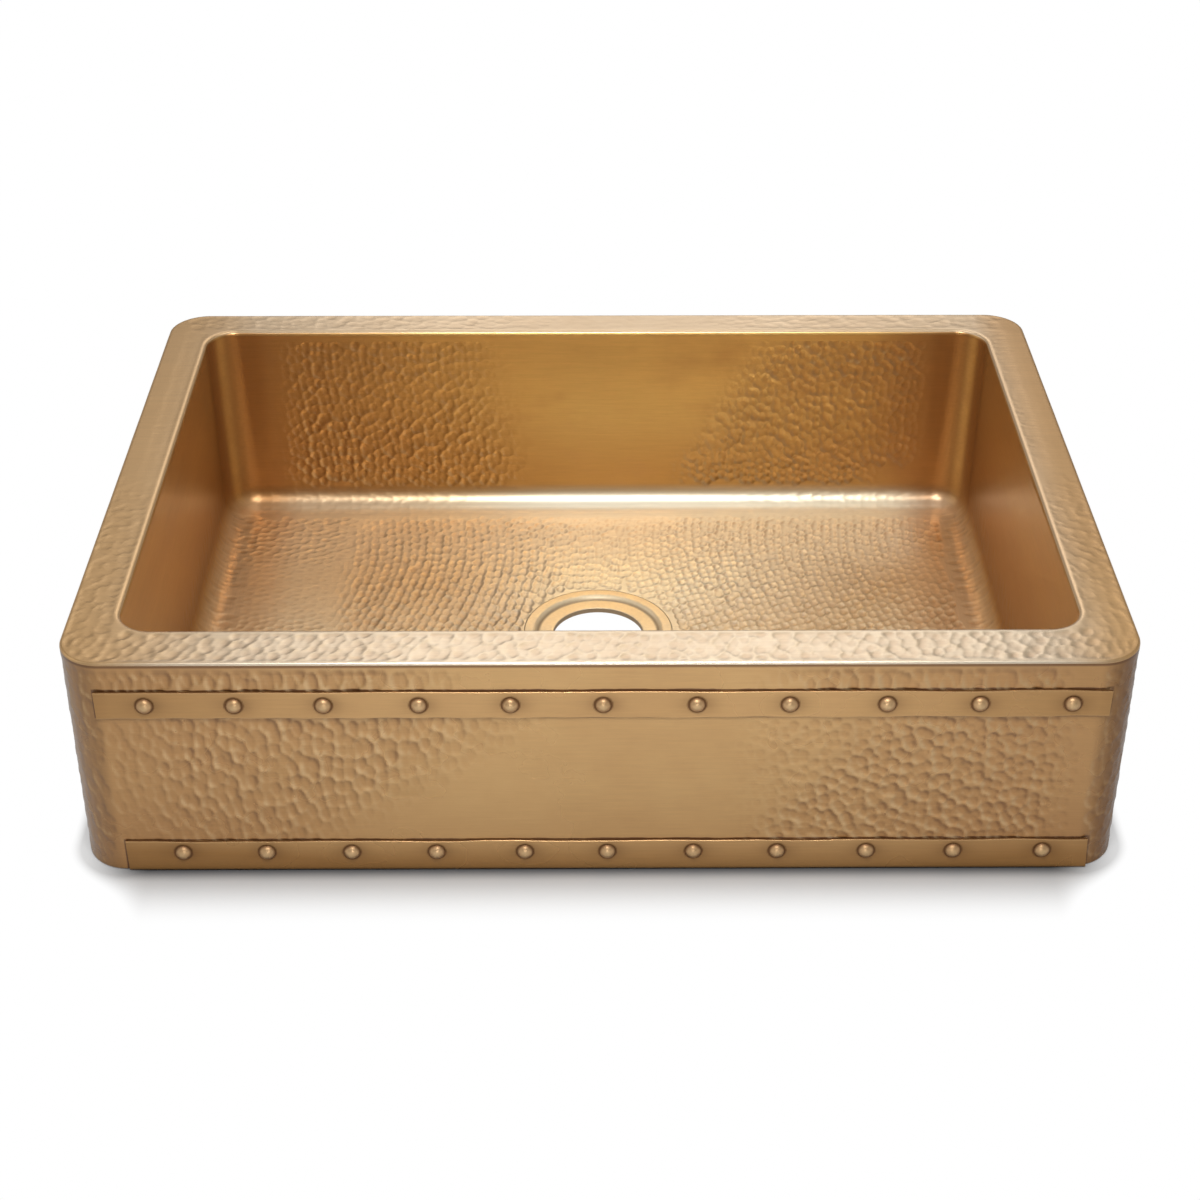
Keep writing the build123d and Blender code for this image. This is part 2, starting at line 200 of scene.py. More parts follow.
# ---------------------------------------------------------------- nodes
class Value:
    """A number or colour on its way through a node tree: sums and products of it add the nodes for them, and
    a | b is the larger of two."""

    def __init__(self, nodes, socket):
        self.nodes, self.socket = nodes, socket

    def __add__(self, other):
        return self.nodes.maths("ADD", self, other)

    def __sub__(self, other):
        return self.nodes.maths("SUBTRACT", self, other)

    def __rsub__(self, other):
        return self.nodes.maths("SUBTRACT", other, self)

    def __mul__(self, other):
        return self.nodes.maths("MULTIPLY", self, other)

    def __or__(self, other):
        return self.nodes.maths("MAXIMUM", self, other)

    def __abs__(self):
        return self.nodes.maths("ABSOLUTE", self, 0.0)

    def spread(self, low, high, to_low=0.0, to_high=1.0, **props):
        """Runs evenly from to_low to to_high while the value goes from low to high."""
        ends = {"Value": self, "From Min": low, "From Max": high, "To Min": to_low, "To Max": to_high}
        return self.nodes.value("ShaderNodeMapRange", ends, **props)

    def step(self, *ends):
        """As spread, with a smooth start and end."""
        return self.spread(*ends, interpolation_type="SMOOTHSTEP")

    def near(self, place, width, soft_width):
        """1 within width of a place, fading to 0 over soft_width beyond it."""
        return abs(self - place).spread(width, width + soft_width, 1.0, 0.0)

    def mix(self, amount, other, kind="MIX"):
        return self.nodes.mix(amount, self, other, kind)


class Nodes:
    """Short ways to add nodes to a tree and join them."""

    def __init__(self, tree):
        self.tree = tree

    def add(self, kind, inputs=None, **props):
        node = self.tree.nodes.new(kind)
        for key, value in props.items():
            setattr(node, key, value)
        for key, value in (inputs or {}).items():
            value = getattr(value, "socket", value)
            if isinstance(value, bpy.types.NodeSocket):
                self.tree.links.new(value, node.inputs[key])
            else:
                node.inputs[key].default_value = value
        return node

    def value(self, kind, inputs=None, which=0, **props):
        """Adds a node and gives one of its outputs."""
        return Value(self, self.add(kind, inputs, **props).outputs[which])

    def maths(self, operation, a, b):
        return self.value("ShaderNodeMath", {0: a, 1: b}, operation=operation)

    def mix(self, amount, a, b, kind="MIX"):
        a, b = (colour if isinstance(colour, Value) else (*colour[:3], 1.0) for colour in (a, b))
        return self.value("ShaderNodeMix", {0: amount, 6: a, 7: b}, 2, data_type="RGBA", blend_type=kind)

    def noise(self, vector, scale, detail, rough):
        return self.value("ShaderNodeTexNoise", {
            "Vector": vector, "Scale": scale, "Detail": detail, "Roughness": rough})

    def rays(self):
        """Whether a ray comes from the camera, and whether it comes off or through a surface."""
        path = self.add("ShaderNodeLightPath").outputs
        camera, glossy, clear = (Value(self, path["Is %s Ray" % kind]) for kind in ("Camera", "Glossy", "Transmission"))
        return camera, glossy | clear


class Finish(Nodes):
    """The nodes of a material, with the piece's own x, y and z in metres."""

    def __init__(self, name):
        self.material = bpy.data.materials.new(name)
        self.material.use_nodes = True
        super().__init__(self.material.node_tree)
        self.tree.nodes.clear()
        self.coords = self.value("ShaderNodeTexCoord", which="Object")
        split = self.add("ShaderNodeSeparateXYZ", {0: self.coords})
        self.x, self.y, self.z = (Value(self, socket) for socket in split.outputs)

    def stretched(self, scale):
        return self.value("ShaderNodeMapping", {"Vector": self.coords, "Scale": scale})

    def attribute(self, name):
        return self.value("ShaderNodeAttribute", None, "Fac", attribute_name=name)

    def show(self, kind, inputs):
        """Puts the last shader on the material's output."""
        self.add("ShaderNodeOutputMaterial", {0: self.value(kind, inputs)})
        return self.material


def geometry_tree(name, inputs):
    """A Geometry Nodes tree with these named inputs, and its input sockets."""
    tree = bpy.data.node_groups.new(name, "GeometryNodeTree")
    tree.interface.new_socket("Geometry", in_out="OUTPUT", socket_type="NodeSocketGeometry")
    for label, kind in {"Geometry": "Geometry", **inputs, "Finish": "Material"}.items():
        tree.interface.new_socket(label, in_out="INPUT", socket_type="NodeSocket" + kind)
    n = Nodes(tree)
    return n, n.add("NodeGroupInput").outputs


def close_tree(n, start, geometry):
    """Makes the geometry real, gives it its finish and hands it out."""
    real = n.value("GeometryNodeRealizeInstances", {0: geometry})
    finished = n.value("GeometryNodeSetMaterial", {"Geometry": real, "Material": start["Finish"]})
    n.add("NodeGroupOutput", {0: finished})
    return n.tree


def press_tree():
    """Geometry Nodes: moves a sheet's points in by its marks and by slow waves, and gives it its finish."""
    name = "Press Hammer Marks"
    if name in bpy.data.node_groups:
        return bpy.data.node_groups[name]
    n, start = geometry_tree(name, {"Depth": "Float", "Waviness": "Float", "Wave Size": "Float"})
    mark = n.value("GeometryNodeInputNamedAttribute", {"Name": "mark"}, "Attribute", data_type="FLOAT")
    lie = n.value("GeometryNodeInputNamedAttribute", {"Name": "lie"}, "Attribute", data_type="FLOAT_VECTOR")
    place = n.value("GeometryNodeInputPosition")
    place = n.value("ShaderNodeVectorMath", {0: place, 1: start["Wave Size"]}, operation="DIVIDE")
    sway = n.value("ShaderNodeTexNoise", {"Vector": place, "Scale": 1.0, "Detail": 2.0}) * start["Waviness"]
    shift = n.value("ShaderNodeVectorMath", {0: lie, "Scale": mark * start["Depth"] - sway}, operation="SCALE")
    moved = n.value("GeometryNodeSetPosition", {"Geometry": start["Geometry"], "Offset": shift})
    return close_tree(n, start, moved)


def rivet_tree():
    """Geometry Nodes: one rivet on each point, each a little different, made real and given its finish."""
    n, start = geometry_tree("Set Rivets", {"Rivet": "Object", "Unevenness": "Float", "Seed": "Int"})
    rivet = n.value("GeometryNodeObjectInfo", {0: start["Rivet"]}, "Geometry")
    turn = n.value("FunctionNodeRandomValue", {
        0: (0.0, -3.14, 0.0), 1: (0.0, 3.14, 0.0), "Seed": start["Seed"]}, data_type="FLOAT_VECTOR")
    least = n.maths("SUBTRACT", 1.0, start["Unevenness"])
    size = n.value("FunctionNodeRandomValue", {2: least, 3: 1.0, "Seed": start["Seed"]}, 1, data_type="FLOAT")
    spots = n.value("GeometryNodeInstanceOnPoints", {
        "Points": start["Geometry"], "Instance": rivet, "Rotation": turn, "Scale": size})
    return close_tree(n, start, spots)


# ---------------------------------------------------------------- meshes
def put(name, mesh):
    """An object made of this mesh, in the scene."""
    obj = bpy.data.objects.new(name, mesh)
    bpy.context.scene.collection.objects.link(obj)
    return obj


def set_values(mesh, label, values):
    mesh.attributes.new(label, "FLOAT", "POINT").data.foreach_set("value", np.asarray(values, np.float32))


def fill(name, points, loops, starts):
    """A mesh from its points, the points round each face, and where each face starts among those."""
    mesh = bpy.data.meshes.new(name)
    mesh.vertices.add(points.size // 3)
    mesh.vertices.foreach_set("co", points.reshape(-1).astype(np.float32))
    mesh.loops.add(len(loops))
    mesh.loops.foreach_set("vertex_index", np.array(loops, np.int32))
    mesh.polygons.add(len(starts))
    mesh.polygons.foreach_set("loop_start", np.array(starts, np.int32))
    mesh.update(calc_edges=True)
    return mesh


def drawn(name, points, faces, sharp, material, **fields):
    """A piece from points (mm) and faces, smooth but for edges beyond this angle, with what its finish needs."""
    mesh = bpy.data.meshes.new(name)
    mesh.from_pydata([tuple(c * MM for c in p) for p in points], [], faces)
    mesh.update()
    for label, values in fields.items():
        set_values(mesh, label, values)
    if material:
        mesh.materials.append(material)
    mesh.polygons.foreach_set("use_smooth", np.ones(len(faces), bool))
    mesh.set_sharp_from_angle(angle=math.radians(sharp))
    return put(name, mesh)


def through(tree, obj, name, inputs):
    """The plain mesh that a Geometry Nodes tree makes of an object, and the object gone."""
    modifier = obj.modifiers.new(tree.name, "NODES")
    modifier.node_group = tree
    for item in tree.interface.items_tree:
        if item.item_type == "SOCKET" and item.in_out == "INPUT" and item.name in inputs:
            modifier[item.identifier] = inputs[item.name]
    bpy.context.view_layer.update()
    mesh = bpy.data.meshes.new_from_object(obj.evaluated_get(bpy.context.evaluated_depsgraph_get()))
    mesh.name = name
    old = obj.data
    bpy.data.objects.remove(obj)
    bpy.data.meshes.remove(old)
    return mesh


def settle(piece, node):
    """Hangs a finished piece under the root body and hides the CAD node that it takes the place of."""
    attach(piece, "root")
    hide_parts(node)


def unit(v):
    return v / np.maximum(np.linalg.norm(v, axis=-1, keepdims=True), 1e-12)


def soft(x, low, high):
    """0 below low, 1 above high, smooth between; the other way round when low is above high."""
    t = min(1.0, max(0.0, (x - low) / (high - low)))
    return t * t * (3 - 2 * t)


# ---------------------------------------------------------------- outlines
def on_ring(box, radius, side, t):
    """Points on one side or corner of a rounded rectangle, going round anticlockwise, and their outward normals."""
    x0, x1, y0, y1 = box
    left, right, front, back = x0 + radius, x1 - radius, y0 + radius, y1 - radius
    t = np.array(t, float)[:, None]
    if "_" in side:
        centre, start = {
            "front_right": ((right, front), -90),
            "back_right": ((right, back), 0),
            "back_left": ((left, back), 90),
            "front_left": ((left, front), 180),
        }[side]
        angle = np.radians(start + 90 * t)
        normal = np.hstack((np.cos(angle), np.sin(angle)))
        return np.array(centre) + radius * normal, normal
    start, end, normal = {
        "front": ((left, y0), (right, y0), (0.0, -1.0)),
        "right": ((x1, front), (x1, back), (1.0, 0.0)),
        "back": ((right, y1), (left, y1), (0.0, 1.0)),
        "left": ((x0, back), (x0, front), (-1.0, 0.0)),
    }[side]
    start, end = np.array(start), np.array(end)
    return start + (end - start) * t, np.tile(normal, (len(t), 1))


def columns(box, radius, sides, spacing, spare):
    """(side, t) for each column of a sheet that runs along these sides, with a spare column before and after."""
    x0, x1, y0, y1 = box
    length = {side: x1 - x0 - 2 * radius if side in ("front", "back") else y1 - y0 - 2 * radius for side in SIDES}
    counts = {s: max(6, round((radius * math.pi / 2 if "_" in s else length[s]) / spacing)) for s in SIDES}
    out = []
    for k, side in enumerate(sides):
        out += [(side, i / counts[side]) for i in range(0 if k == 0 else 1, counts[side] + 1)]
    if spare:
        before = SIDES[(SIDES.index(sides[0]) - 1) % 8]
        after = SIDES[(SIDES.index(sides[-1]) + 1) % 8]
        out = [(before, 1 - 1 / counts[before])] + out + [(after, 1 / counts[after])]
    return out


def ring_points(box, radius, cols):
    points, normals = np.zeros((len(cols), 2)), np.zeros((len(cols), 2))
    for side in SIDES:
        at = [i for i, c in enumerate(cols) if c[0] == side]
        if at:
            points[at], normals[at] = on_ring(box, radius, side, [cols[i][1] for i in at])
    return points, normals


# ---------------------------------------------------------------- hammer marks
# Lengths in mm. A blow weaker than this share or shallower than this depth leaves no mark.
WEAKEST, SHALLOWEST = 0.03, 0.004
ROUNDNESS = 1.6
RIDGE_SPREAD, RIDGE_DEPTH = 0.05, 0.12
# The relief, the wear and the lean towards the painted light at which a finish is at its strongest.
FULL_RELIEF, FULL_WORK, FULL_LEAN = 0.35, 0.6, 0.22
SAME_POINT = 2e-7


class Marks:
    """Blows of the hammer: where each lands, how wide and deep it is, and which way it is drawn out."""

    def __init__(self, seed):
        self.rng = random.Random(hammering().seed * 1000 + seed)
        self.blows = []

    def strike(self, place, radius, depth, along, stretch):
        if depth > SHALLOWEST:
            self.blows.append((place, radius, depth, along, stretch))

    def swarm(self, u_range, v_range, place, pitch, size, depth, weight=None, along=None, stretch=1.0, jitter=0.3,
              warp=None, vary=0.16):
        """Blows in staggered columns over a sheet. pitch is their spacing across and along the columns, warp bends
        the columns, and weight says how hard the blows land at a place."""
        rng = self.rng
        (u0, u1), (v0, v1), (across, down) = u_range, v_range, pitch
        for c in range(-2, int((u1 - u0) / across) + 4):
            slip = (c % 2) * down / 2 + rng.uniform(-0.25, 0.25) * down
            for r in range(-2, int((v1 - v0) / down) + 4):
                u = u0 + c * across + rng.gauss(0, jitter * 0.5) * across
                v = v0 + r * down + slip + rng.gauss(0, jitter * 0.5) * down
                amount, big = rng.uniform(0.75, 1.2), 1 + rng.gauss(0, vary * 0.5)
                if warp:
                    u, v = warp(u, v)
                if not (u0 <= u <= u1 and v0 <= v <= v1):
                    continue
                force = weight(u, v) if weight else 1.0
                if force > WEAKEST:
                    big = min(1.3, max(0.7, big)) * (0.75 + 0.25 * min(1.0, force))
                    self.strike(place(u, v), size * big, depth * amount * force,
                                along(u, v) if callable(along) else along, stretch)


def press(points, blows):
    """How far each point is pushed in by the blows, in mm, and how near it is to the ridge between two of them."""
    first, second = np.zeros(len(points)), np.zeros(len(points))
    tree = kdtree.KDTree(len(points))
    for i, p in enumerate(points):
        tree.insert(p, i)
    tree.balance()
    for place, radius, depth, along, stretch in blows:
        hits = tree.find_range(place, radius * stretch)
        if not hits:
            continue
        at = np.fromiter((h[1] for h in hits), int, len(hits))
        away = points[at] - place
        square = (away * away).sum(1)
        if along is not None and stretch != 1.0:
            run = away @ along
            square = square - run * run * (1 - 1 / stretch ** 2)
        level = depth * (np.minimum(square / radius ** 2, 1) ** ROUNDNESS - 1)
        old = first[at]
        lower = level < old
        second[at] = np.where(lower, old, np.minimum(second[at], level))
        first[at] = np.where(lower, level, old)
    ridge = np.exp(-(second - first) / RIDGE_SPREAD) * np.clip(-second / RIDGE_DEPTH, 0, 1)
    return first, ridge


def blur(field, cells):
    """A grid's values averaged over this many neighbours each way, three times over, so that they turn smooth."""
    for axis in (0, 1):
        pad = [(0, 0), (0, 0)]
        pad[axis] = (cells + 1, cells)
        count = field.shape[axis]
        for _ in range(3):
            total = np.cumsum(np.pad(field, pad, mode="edge"), axis=axis)
            upper = np.take(total, np.arange(count) + 2 * cells + 1, axis=axis)
            field = (upper - np.take(total, np.arange(count), axis=axis)) / (2 * cells + 1)
    return field


def surface_normals(grid, lie):
    """Normals of a grid of points, facing the way the sheet faces."""
    n = np.cross(np.gradient(grid, axis=0), np.gradient(grid, axis=1))
    length = np.linalg.norm(n, axis=-1, keepdims=True)
    n = np.where(length > 1e-12, n / np.maximum(length, 1e-12), lie)
    flip = np.sign((n * lie).sum(-1, keepdims=True))
    return n * np.where(flip == 0, 1, flip)


def quads(nu, nv, offset=0):
    i, j = np.meshgrid(np.arange(nu - 1), np.arange(nv - 1), indexing="ij")
    a = (i * nv + j).ravel() + offset
    return np.stack((a, a + nv, a + nv + 1, a + 1), -1)


def hammered(points, lie, blows, material, ease):
    """Presses the blows into a grid of points (mm) and gives the grid back, with what its finish needs: how far
    each point stands above or below its neighbours, how near it is to a ridge, how worked the sheet is there, and
    how far it leans towards one fixed direction, where its finish paints a highlight, or away from it, where it paints
    a shade."""
    shape = points.shape[:2]
    mark, ridge = (field.reshape(shape) for field in press(points.reshape(-1, 3), blows))
    if ease is not None:
        mark, ridge = mark * ease, ridge * ease
    faces = quads(*shape)
    mesh = fill("sheet_in_work", points * MM, faces.reshape(-1), np.arange(0, faces.size, 4))
    set_values(mesh, "mark", mark.reshape(-1) * MM)
    lies = mesh.attributes.new("lie", "FLOAT_VECTOR", "POINT").data
    lies.foreach_set("vector", lie.reshape(-1).astype(np.float32))
    work = hammering()
    done = through(press_tree(), put("sheet_in_work", mesh), "sheet_pressed", {
        "Depth": work.mark_depth, "Waviness": work.waviness, "Wave Size": work.wave_size, "Finish": material})
    out = np.zeros(points.size, np.float32)
    done.vertices.foreach_get("co", out)
    bpy.data.meshes.remove(done)
    relief = np.clip((mark - blur(mark, 3)) / FULL_RELIEF, -1, 1)
    worked = np.clip(-blur(mark, 8) / FULL_WORK, 0, 1)
    # Painted light and shade: how far each point leans towards the fixed direction of the painted light (1) or away
    # from it (-1).
    turned = surface_normals(points + lie * mark[..., None], lie) - surface_normals(points, lie)
    lit = np.clip(turned @ PAINTED_LIGHT_FROM / FULL_LEAN, -1, 1)
    return out.reshape(points.shape).astype(float), (relief, ridge, worked, lit)


def zip_borders(front, back, places):
    """Triangles between a fine border and a coarse one, whose points stand at these places along the fine one."""
    faces, i = [], 0
    for j in range(len(back) - 1):
        middle = (places[j] + places[j + 1]) / 2
        while i < len(front) - 1 and i + 1 <= middle:
            faces.append((front[i], front[i + 1], back[j]))
            i += 1
        faces.append((front[i], back[j + 1], back[j]))
    return faces + [(front[k], front[k + 1], back[-1]) for k in range(i, len(front) - 1)]


class Shell:
    """Gathers closed sheets into one piece."""

    def __init__(self):
        self.points, self.faces, self.normals, self.fields = [], [], [], []
        self.count = 0

    def add(self, points, lie, blows, material, trim, ease=None, step=8, keep=None, open_ends=False):
        """Hammers a sheet of points (mm) and closes it behind with a plain sheet. trim gives the spare rows at the
        sheet's borders, (u0, u1, v0, v1), and keep or step which rows the plain sheet has."""
        grid, fields = hammered(points, lie, blows, material, ease)
        normals = surface_normals(grid, lie)
        u0, u1, v0, v1 = trim
        cut = (slice(u0, grid.shape[0] - u1), slice(v0, grid.shape[1] - v1))
        grid, normals, plain, lie = grid[cut], normals[cut], points[cut] * MM, lie[cut]
        nu, nv = grid.shape[:2]
        iu = sorted(set(range(0, nu, step)) | {nu - 1})
        iv = sorted(set(keep or range(0, nv, step)) | {nv - 1})
        rear = (plain - lie * SHEET * MM)[np.ix_(iu, iv)]
        fine = self.count + np.arange(nu * nv).reshape(nu, nv)
        coarse = self.count + nu * nv + np.arange(len(iu) * len(iv)).reshape(len(iu), len(iv))
        i, j = nu // 2, nv // 2
        probe = np.cross(grid[i + 1, j] - grid[i, j], grid[i, j + 1] - grid[i, j])
        outward = (probe * lie[i, j]).sum() > 0
        front_faces, rear_faces = quads(nu, nv, fine[0, 0]), quads(len(iu), len(iv), coarse[0, 0])
        if outward:
            rear_faces = rear_faces[:, ::-1]
        else:
            front_faces = front_faces[:, ::-1]
        borders = [(fine[:, 0], coarse[:, 0], iu, True), (fine[:, -1], coarse[:, -1], iu, False)]
        if not open_ends:
            borders += [(fine[0], coarse[0], iv, False), (fine[-1], coarse[-1], iv, True)]
        faces = front_faces.tolist() + rear_faces.tolist()
        for front, back, places, turned in borders:
            strip = zip_borders(front.tolist(), back.tolist(), places)
            faces += [f[::-1] for f in strip] if turned == outward else strip
        self.faces += [(f, k < len(front_faces)) for k, f in enumerate(faces)]
        self.points += [grid.reshape(-1, 3), rear.reshape(-1, 3)]
        self.normals += [normals.reshape(-1, 3), np.zeros((coarse.size, 3))]
        self.fields += [np.stack([field[cut].reshape(-1) for field in fields], -1), np.zeros((coarse.size, 4))]
        self.count += fine.size + coarse.size

    def make(self, name, *materials, choose=None):
        """Joins points that fall together. choose gives each face's material from its middle, in mm."""
        points, fields, normals = (np.concatenate(part) for part in (self.points, self.fields, self.normals))
        keys = np.round(points / SAME_POINT).astype(np.int64)
        _, first, same = np.unique(keys, axis=0, return_index=True, return_inverse=True)
        order = np.argsort(first)
        rank = np.empty_like(order)
        rank[order] = np.arange(len(order))
        new_index = rank[same.reshape(-1)]
        kept = first[order]
        verts = points[kept]
        loops, starts, choices, loop_normals = [], [], [], []
        for f, smooth in self.faces:
            g = [int(new_index[k]) for k in f]
            g = [v for k, v in enumerate(g) if v != g[k - 1]]
            if len(g) < 3 or len(set(g)) < len(g):
                continue
            starts.append(len(loops))
            loops += g
            if choose:
                choices.append(choose(verts[g].mean(0) / MM))
            if smooth:
                loop_normals += [normals[kept[v]] for v in g]
            else:
                n = np.cross(verts[g[1]] - verts[g[0]], verts[g[2]] - verts[g[0]])
                size = np.linalg.norm(n)
                loop_normals += [n / size if size > 1e-15 else UP] * len(g)
        mesh = fill(name, verts, loops, starts)
        mesh.polygons.foreach_set("use_smooth", np.ones(len(starts), bool))
        mesh.normals_split_custom_set([tuple(n) for n in loop_normals])
        for label, values in zip(("relief", "ridge", "worked", "lit"), fields[kept].T):
            set_values(mesh, label, values)
        for material in materials:
            mesh.materials.append(material)
        if choose:
            mesh.polygons.foreach_set("material_index", np.array(choices, np.int32))
        return put(name, mesh)


# ---------------------------------------------------------------- finishes
# Places in the finishes are in metres on the sink: x to the right, y to the back, z up. A pair such as 0.12, 0.40
# says where a change of colour starts and where it is complete.
def brass(name, grain, base=None, metal=0.7, roughness=0.27, tone=0.35, streak=0.06, bump=0.003, coat=0.5,
          hollow=0.35, dull=0.76, bright=0.5, above=None, shade=None, bare=None):
    """Hand-worked brass: clouds of age, brushed grain, bright ridges, darker hollows, a painted highlight and a painted
    shade on the two sides of each hammer mark, edges lightened by wear and painted highlights, and crevices darkened by
    soiling and painted shadow. above gives another base colour and metal share for the walls, (low, high, colour,
    metal), blended by height; shade paints one piece's own ageing and its painted light and shade, and bare says where
    the lacquer has gone."""
    if name in bpy.data.materials:
        return bpy.data.materials[name]
    n, colours = Finish(name), finish()
    clouds, blotch = n.noise(n.coords, *CLOUDS), n.noise(n.coords, *BLOTCHES)
    age = (clouds.spread(0.38, 0.66, 0.0, 0.6) + blotch.spread(0.42, 0.68, 0.0, 0.25)) * tone
    base = base or colours.brass
    if above:
        low, high, wall_colour, wall_metal = above
        rise = n.z.step(low, high)
        base = n.mix(rise, base, wall_colour)
        metal = rise.spread(0.0, 1.0, metal, wall_metal)
    colour = n.mix(age + n.attribute("worked") * 0.3, base, colours.aged_and_shade)
    relief, lit, grime = n.attribute("relief"), n.attribute("lit"), n.attribute("grime")
    colour = colour.mix(relief.spread(0.0, -1.0, 0.0, hollow), colours.aged_and_shade)
    colour = colour.mix(relief.spread(0.0, 1.0, 0.0, 0.2), colours.worn_and_sheen)
    colour = colour.mix(n.attribute("ridge") * 0.14, colours.worn_and_sheen)
    if shade:
        colour = shade(n, colour)
    # Painted shade on the sides of the marks that lean away from the painted light, and a painted highlight on those
    # that lean towards it.
    colour = colour.mix(lit.spread(-0.05, -0.9, 0.0, dull), PAINTED_SHADE_TINT, "MULTIPLY")
    colour = colour.mix(lit.spread(0.05, 0.9, 0.0, bright), colours.worn_and_sheen)
    # Wear along edges together with painted highlights, such as on the strap corners and the rivet domes.
    colour = colour.mix(n.attribute("edge") * 0.8, colours.worn_and_sheen)
    # The dark colour of crevices where a piece is painted dark: soiling, with painted shadow in gaps and recesses and
    # round the rivets. The same values take off the lacquer and roughen the surface.
    colour = colour.mix(grime, colours.crevice_and_shadow)
    fine = n.noise(n.stretched([g * 2.5 for g in grain]), *FINE_LINES)
    broad = n.noise(n.stretched([g * 0.5 for g in grain]), *BROAD_LINES)
    lines = fine * 0.4 + broad * 0.6
    streaks = lines.spread(0.34, 0.66, 1 - streak, 1 + streak)
    gone = grime | bare(n) if bare else grime
    return n.show("ShaderNodeBsdfPrincipled", {
        "Base Color": n.value("ShaderNodeVectorMath", {0: colour, "Scale": streaks}, operation="SCALE"),
        "Metallic": metal,
        "Roughness": clouds.spread(0.3, 0.7, roughness - 0.01, roughness + 0.02) + grime * 0.3,
        "Normal": n.value("ShaderNodeBump", {"Height": lines, "Strength": bump, "Distance": 0.0006}),
        "Coat Weight": gone.spread(0.0, 1.0, coat, 0.0) if coat else 0.0,
        "Coat Roughness": 0.34, "Coat IOR": 1.5})


def corner_tarnish_and_shade(n, colour, amount):
    """Streaky brown darkening of the front corners: tarnish and painted shade."""
    streak = n.noise(n.stretched((60.0, 60.0, 6.0)), 3.0, 4.0, 0.6)
    return colour.mix(amount * streak.spread(0.35, 0.65, 0.6, 1.0), [v * 0.62 for v in finish().aged_and_shade])


def side_age_and_shade(n, colour):
    """The sides and back are browner low down, and the sides go on from the dark front corners, whose darkening is
    tarnish and painted shade.
    """
    front = n.y.step(0.05, -0.25).spread(0.0, 1.0, 0.30, 0.60)
    colour = colour.mix(front + n.z.step(0.10, 0.02) * 0.30, finish().aged_and_shade)
    return corner_tarnish_and_shade(n, colour, n.y.step(-0.15, -0.30))


def apron_age_and_shade(n, colour):
    """The apron is painted darker towards its ends and foot, a painted shade, and on its rounded corners, tarnish and
    painted shade, darkest on the right one. A dark wandering line, soiling and painted shadow, runs along the straps,
    under the upper one and round their ends, and a painted shadow line runs under the rim's turned edge."""
    across = abs(n.x)
    # Painted shade: darker towards the ends and towards the foot.
    colour = colour.mix(across.step(0.12, 0.40) * 0.60 + n.z.step(0.10, 0.02) * 0.30, finish().aged_and_shade)
    # Tarnish and painted shade on the rounded corners, darkest on the right one.
    turn = across.step(0.418, 0.430) * 0.65 + across.step(0.428, 0.452) * 0.35
    colour = corner_tarnish_and_shade(n, colour, turn)
    colour = colour.mix(n.x.step(0.424, 0.446) * 0.72, RIGHT_CORNER)
    # Dark lines of soiling and painted shadow: under the rim's turned edge, along the top of each strap, under the
    # upper strap and beside both ends of each strap.
    weight = n.noise(n.stretched((45.0, 1.0, 1.0)), 1.0, 3.0, 0.6).spread(0.35, 0.65, 0.0002, 0.0011)
    dirt_and_shadow = n.z.near((RIM_TOP - 3.7) * MM, 0.0006, 0.0016) * 0.8
    for node in ("upper_strap", "lower_strap"):
        (x0, _, z0), (x1, _, z1) = (corner * MM for corner in box_mm(node))
        inside = n.x.near((x0 + x1) / 2, (x1 - x0) / 2 - 0.002, 0.004)
        beside = n.z.near((z0 + z1) / 2, (z1 - z0) / 2, 0.001)
        dirt_and_shadow = dirt_and_shadow | n.z.near(z1, weight, 0.0008) * inside
        if z0 > 0.005:
            dirt_and_shadow = dirt_and_shadow | n.z.near(z0 - 0.0004, 0.0, 0.0011) * inside * 0.55
        for end, dark in ((x0, 1.0), (x1, 0.7)):
            dirt_and_shadow = dirt_and_shadow | n.x.near(end, 0.0010, 0.0011) * beside * dark
    return colour.mix(dirt_and_shadow, finish().crevice_and_shadow)


def rim_light_and_shade(n, colour):
    """The rim is painted palest along its front and back and darker at its two ends and near its right front corner,
    painted light and shade; a painted highlight runs along its front outer edge, fading towards the ends.
    """
    # Painted shade: the ends, and a little the back, go back towards the plain brass, and the right front corner is
    # darker.
    ends = n.x.step(-0.28, -0.45) * 0.95 | n.x.step(0.37, 0.45) | n.y.step(0.10, 0.32) * 0.45
    colour = colour.mix(ends, finish().brass)
    colour = colour.mix(n.x.step(0.39, 0.43) * n.y.step(-0.28, -0.12) * 0.2, finish().aged_and_shade)
    # Painted highlight along the top of the front outer edge.
    top, face = RIM_TOP * MM, APRON_FACE * MM
    lip = n.z.step(top - 0.0001, top - 0.0008) * n.y.step(face + 0.008, face + 0.004)
    return colour.mix(lip * abs(n.x).step(0.34, 0.43).spread(0.0, 1.0, 0.45, 0.05), LIP_HIGHLIGHT)


def strap_age_and_shade(n, colour):
    """The straps are painted darker towards their ends and foot, the foot more on the left: tarnish and painted shade.
    """
    foot = n.z.step(0.040, 0.004) * n.x.spread(-0.20, 0.30, 1.0, 0.62)
    return colour.mix(abs(n.x).step(0.16, 0.42) * 0.55 + foot, STRAP_TARNISH_AND_SHADE)


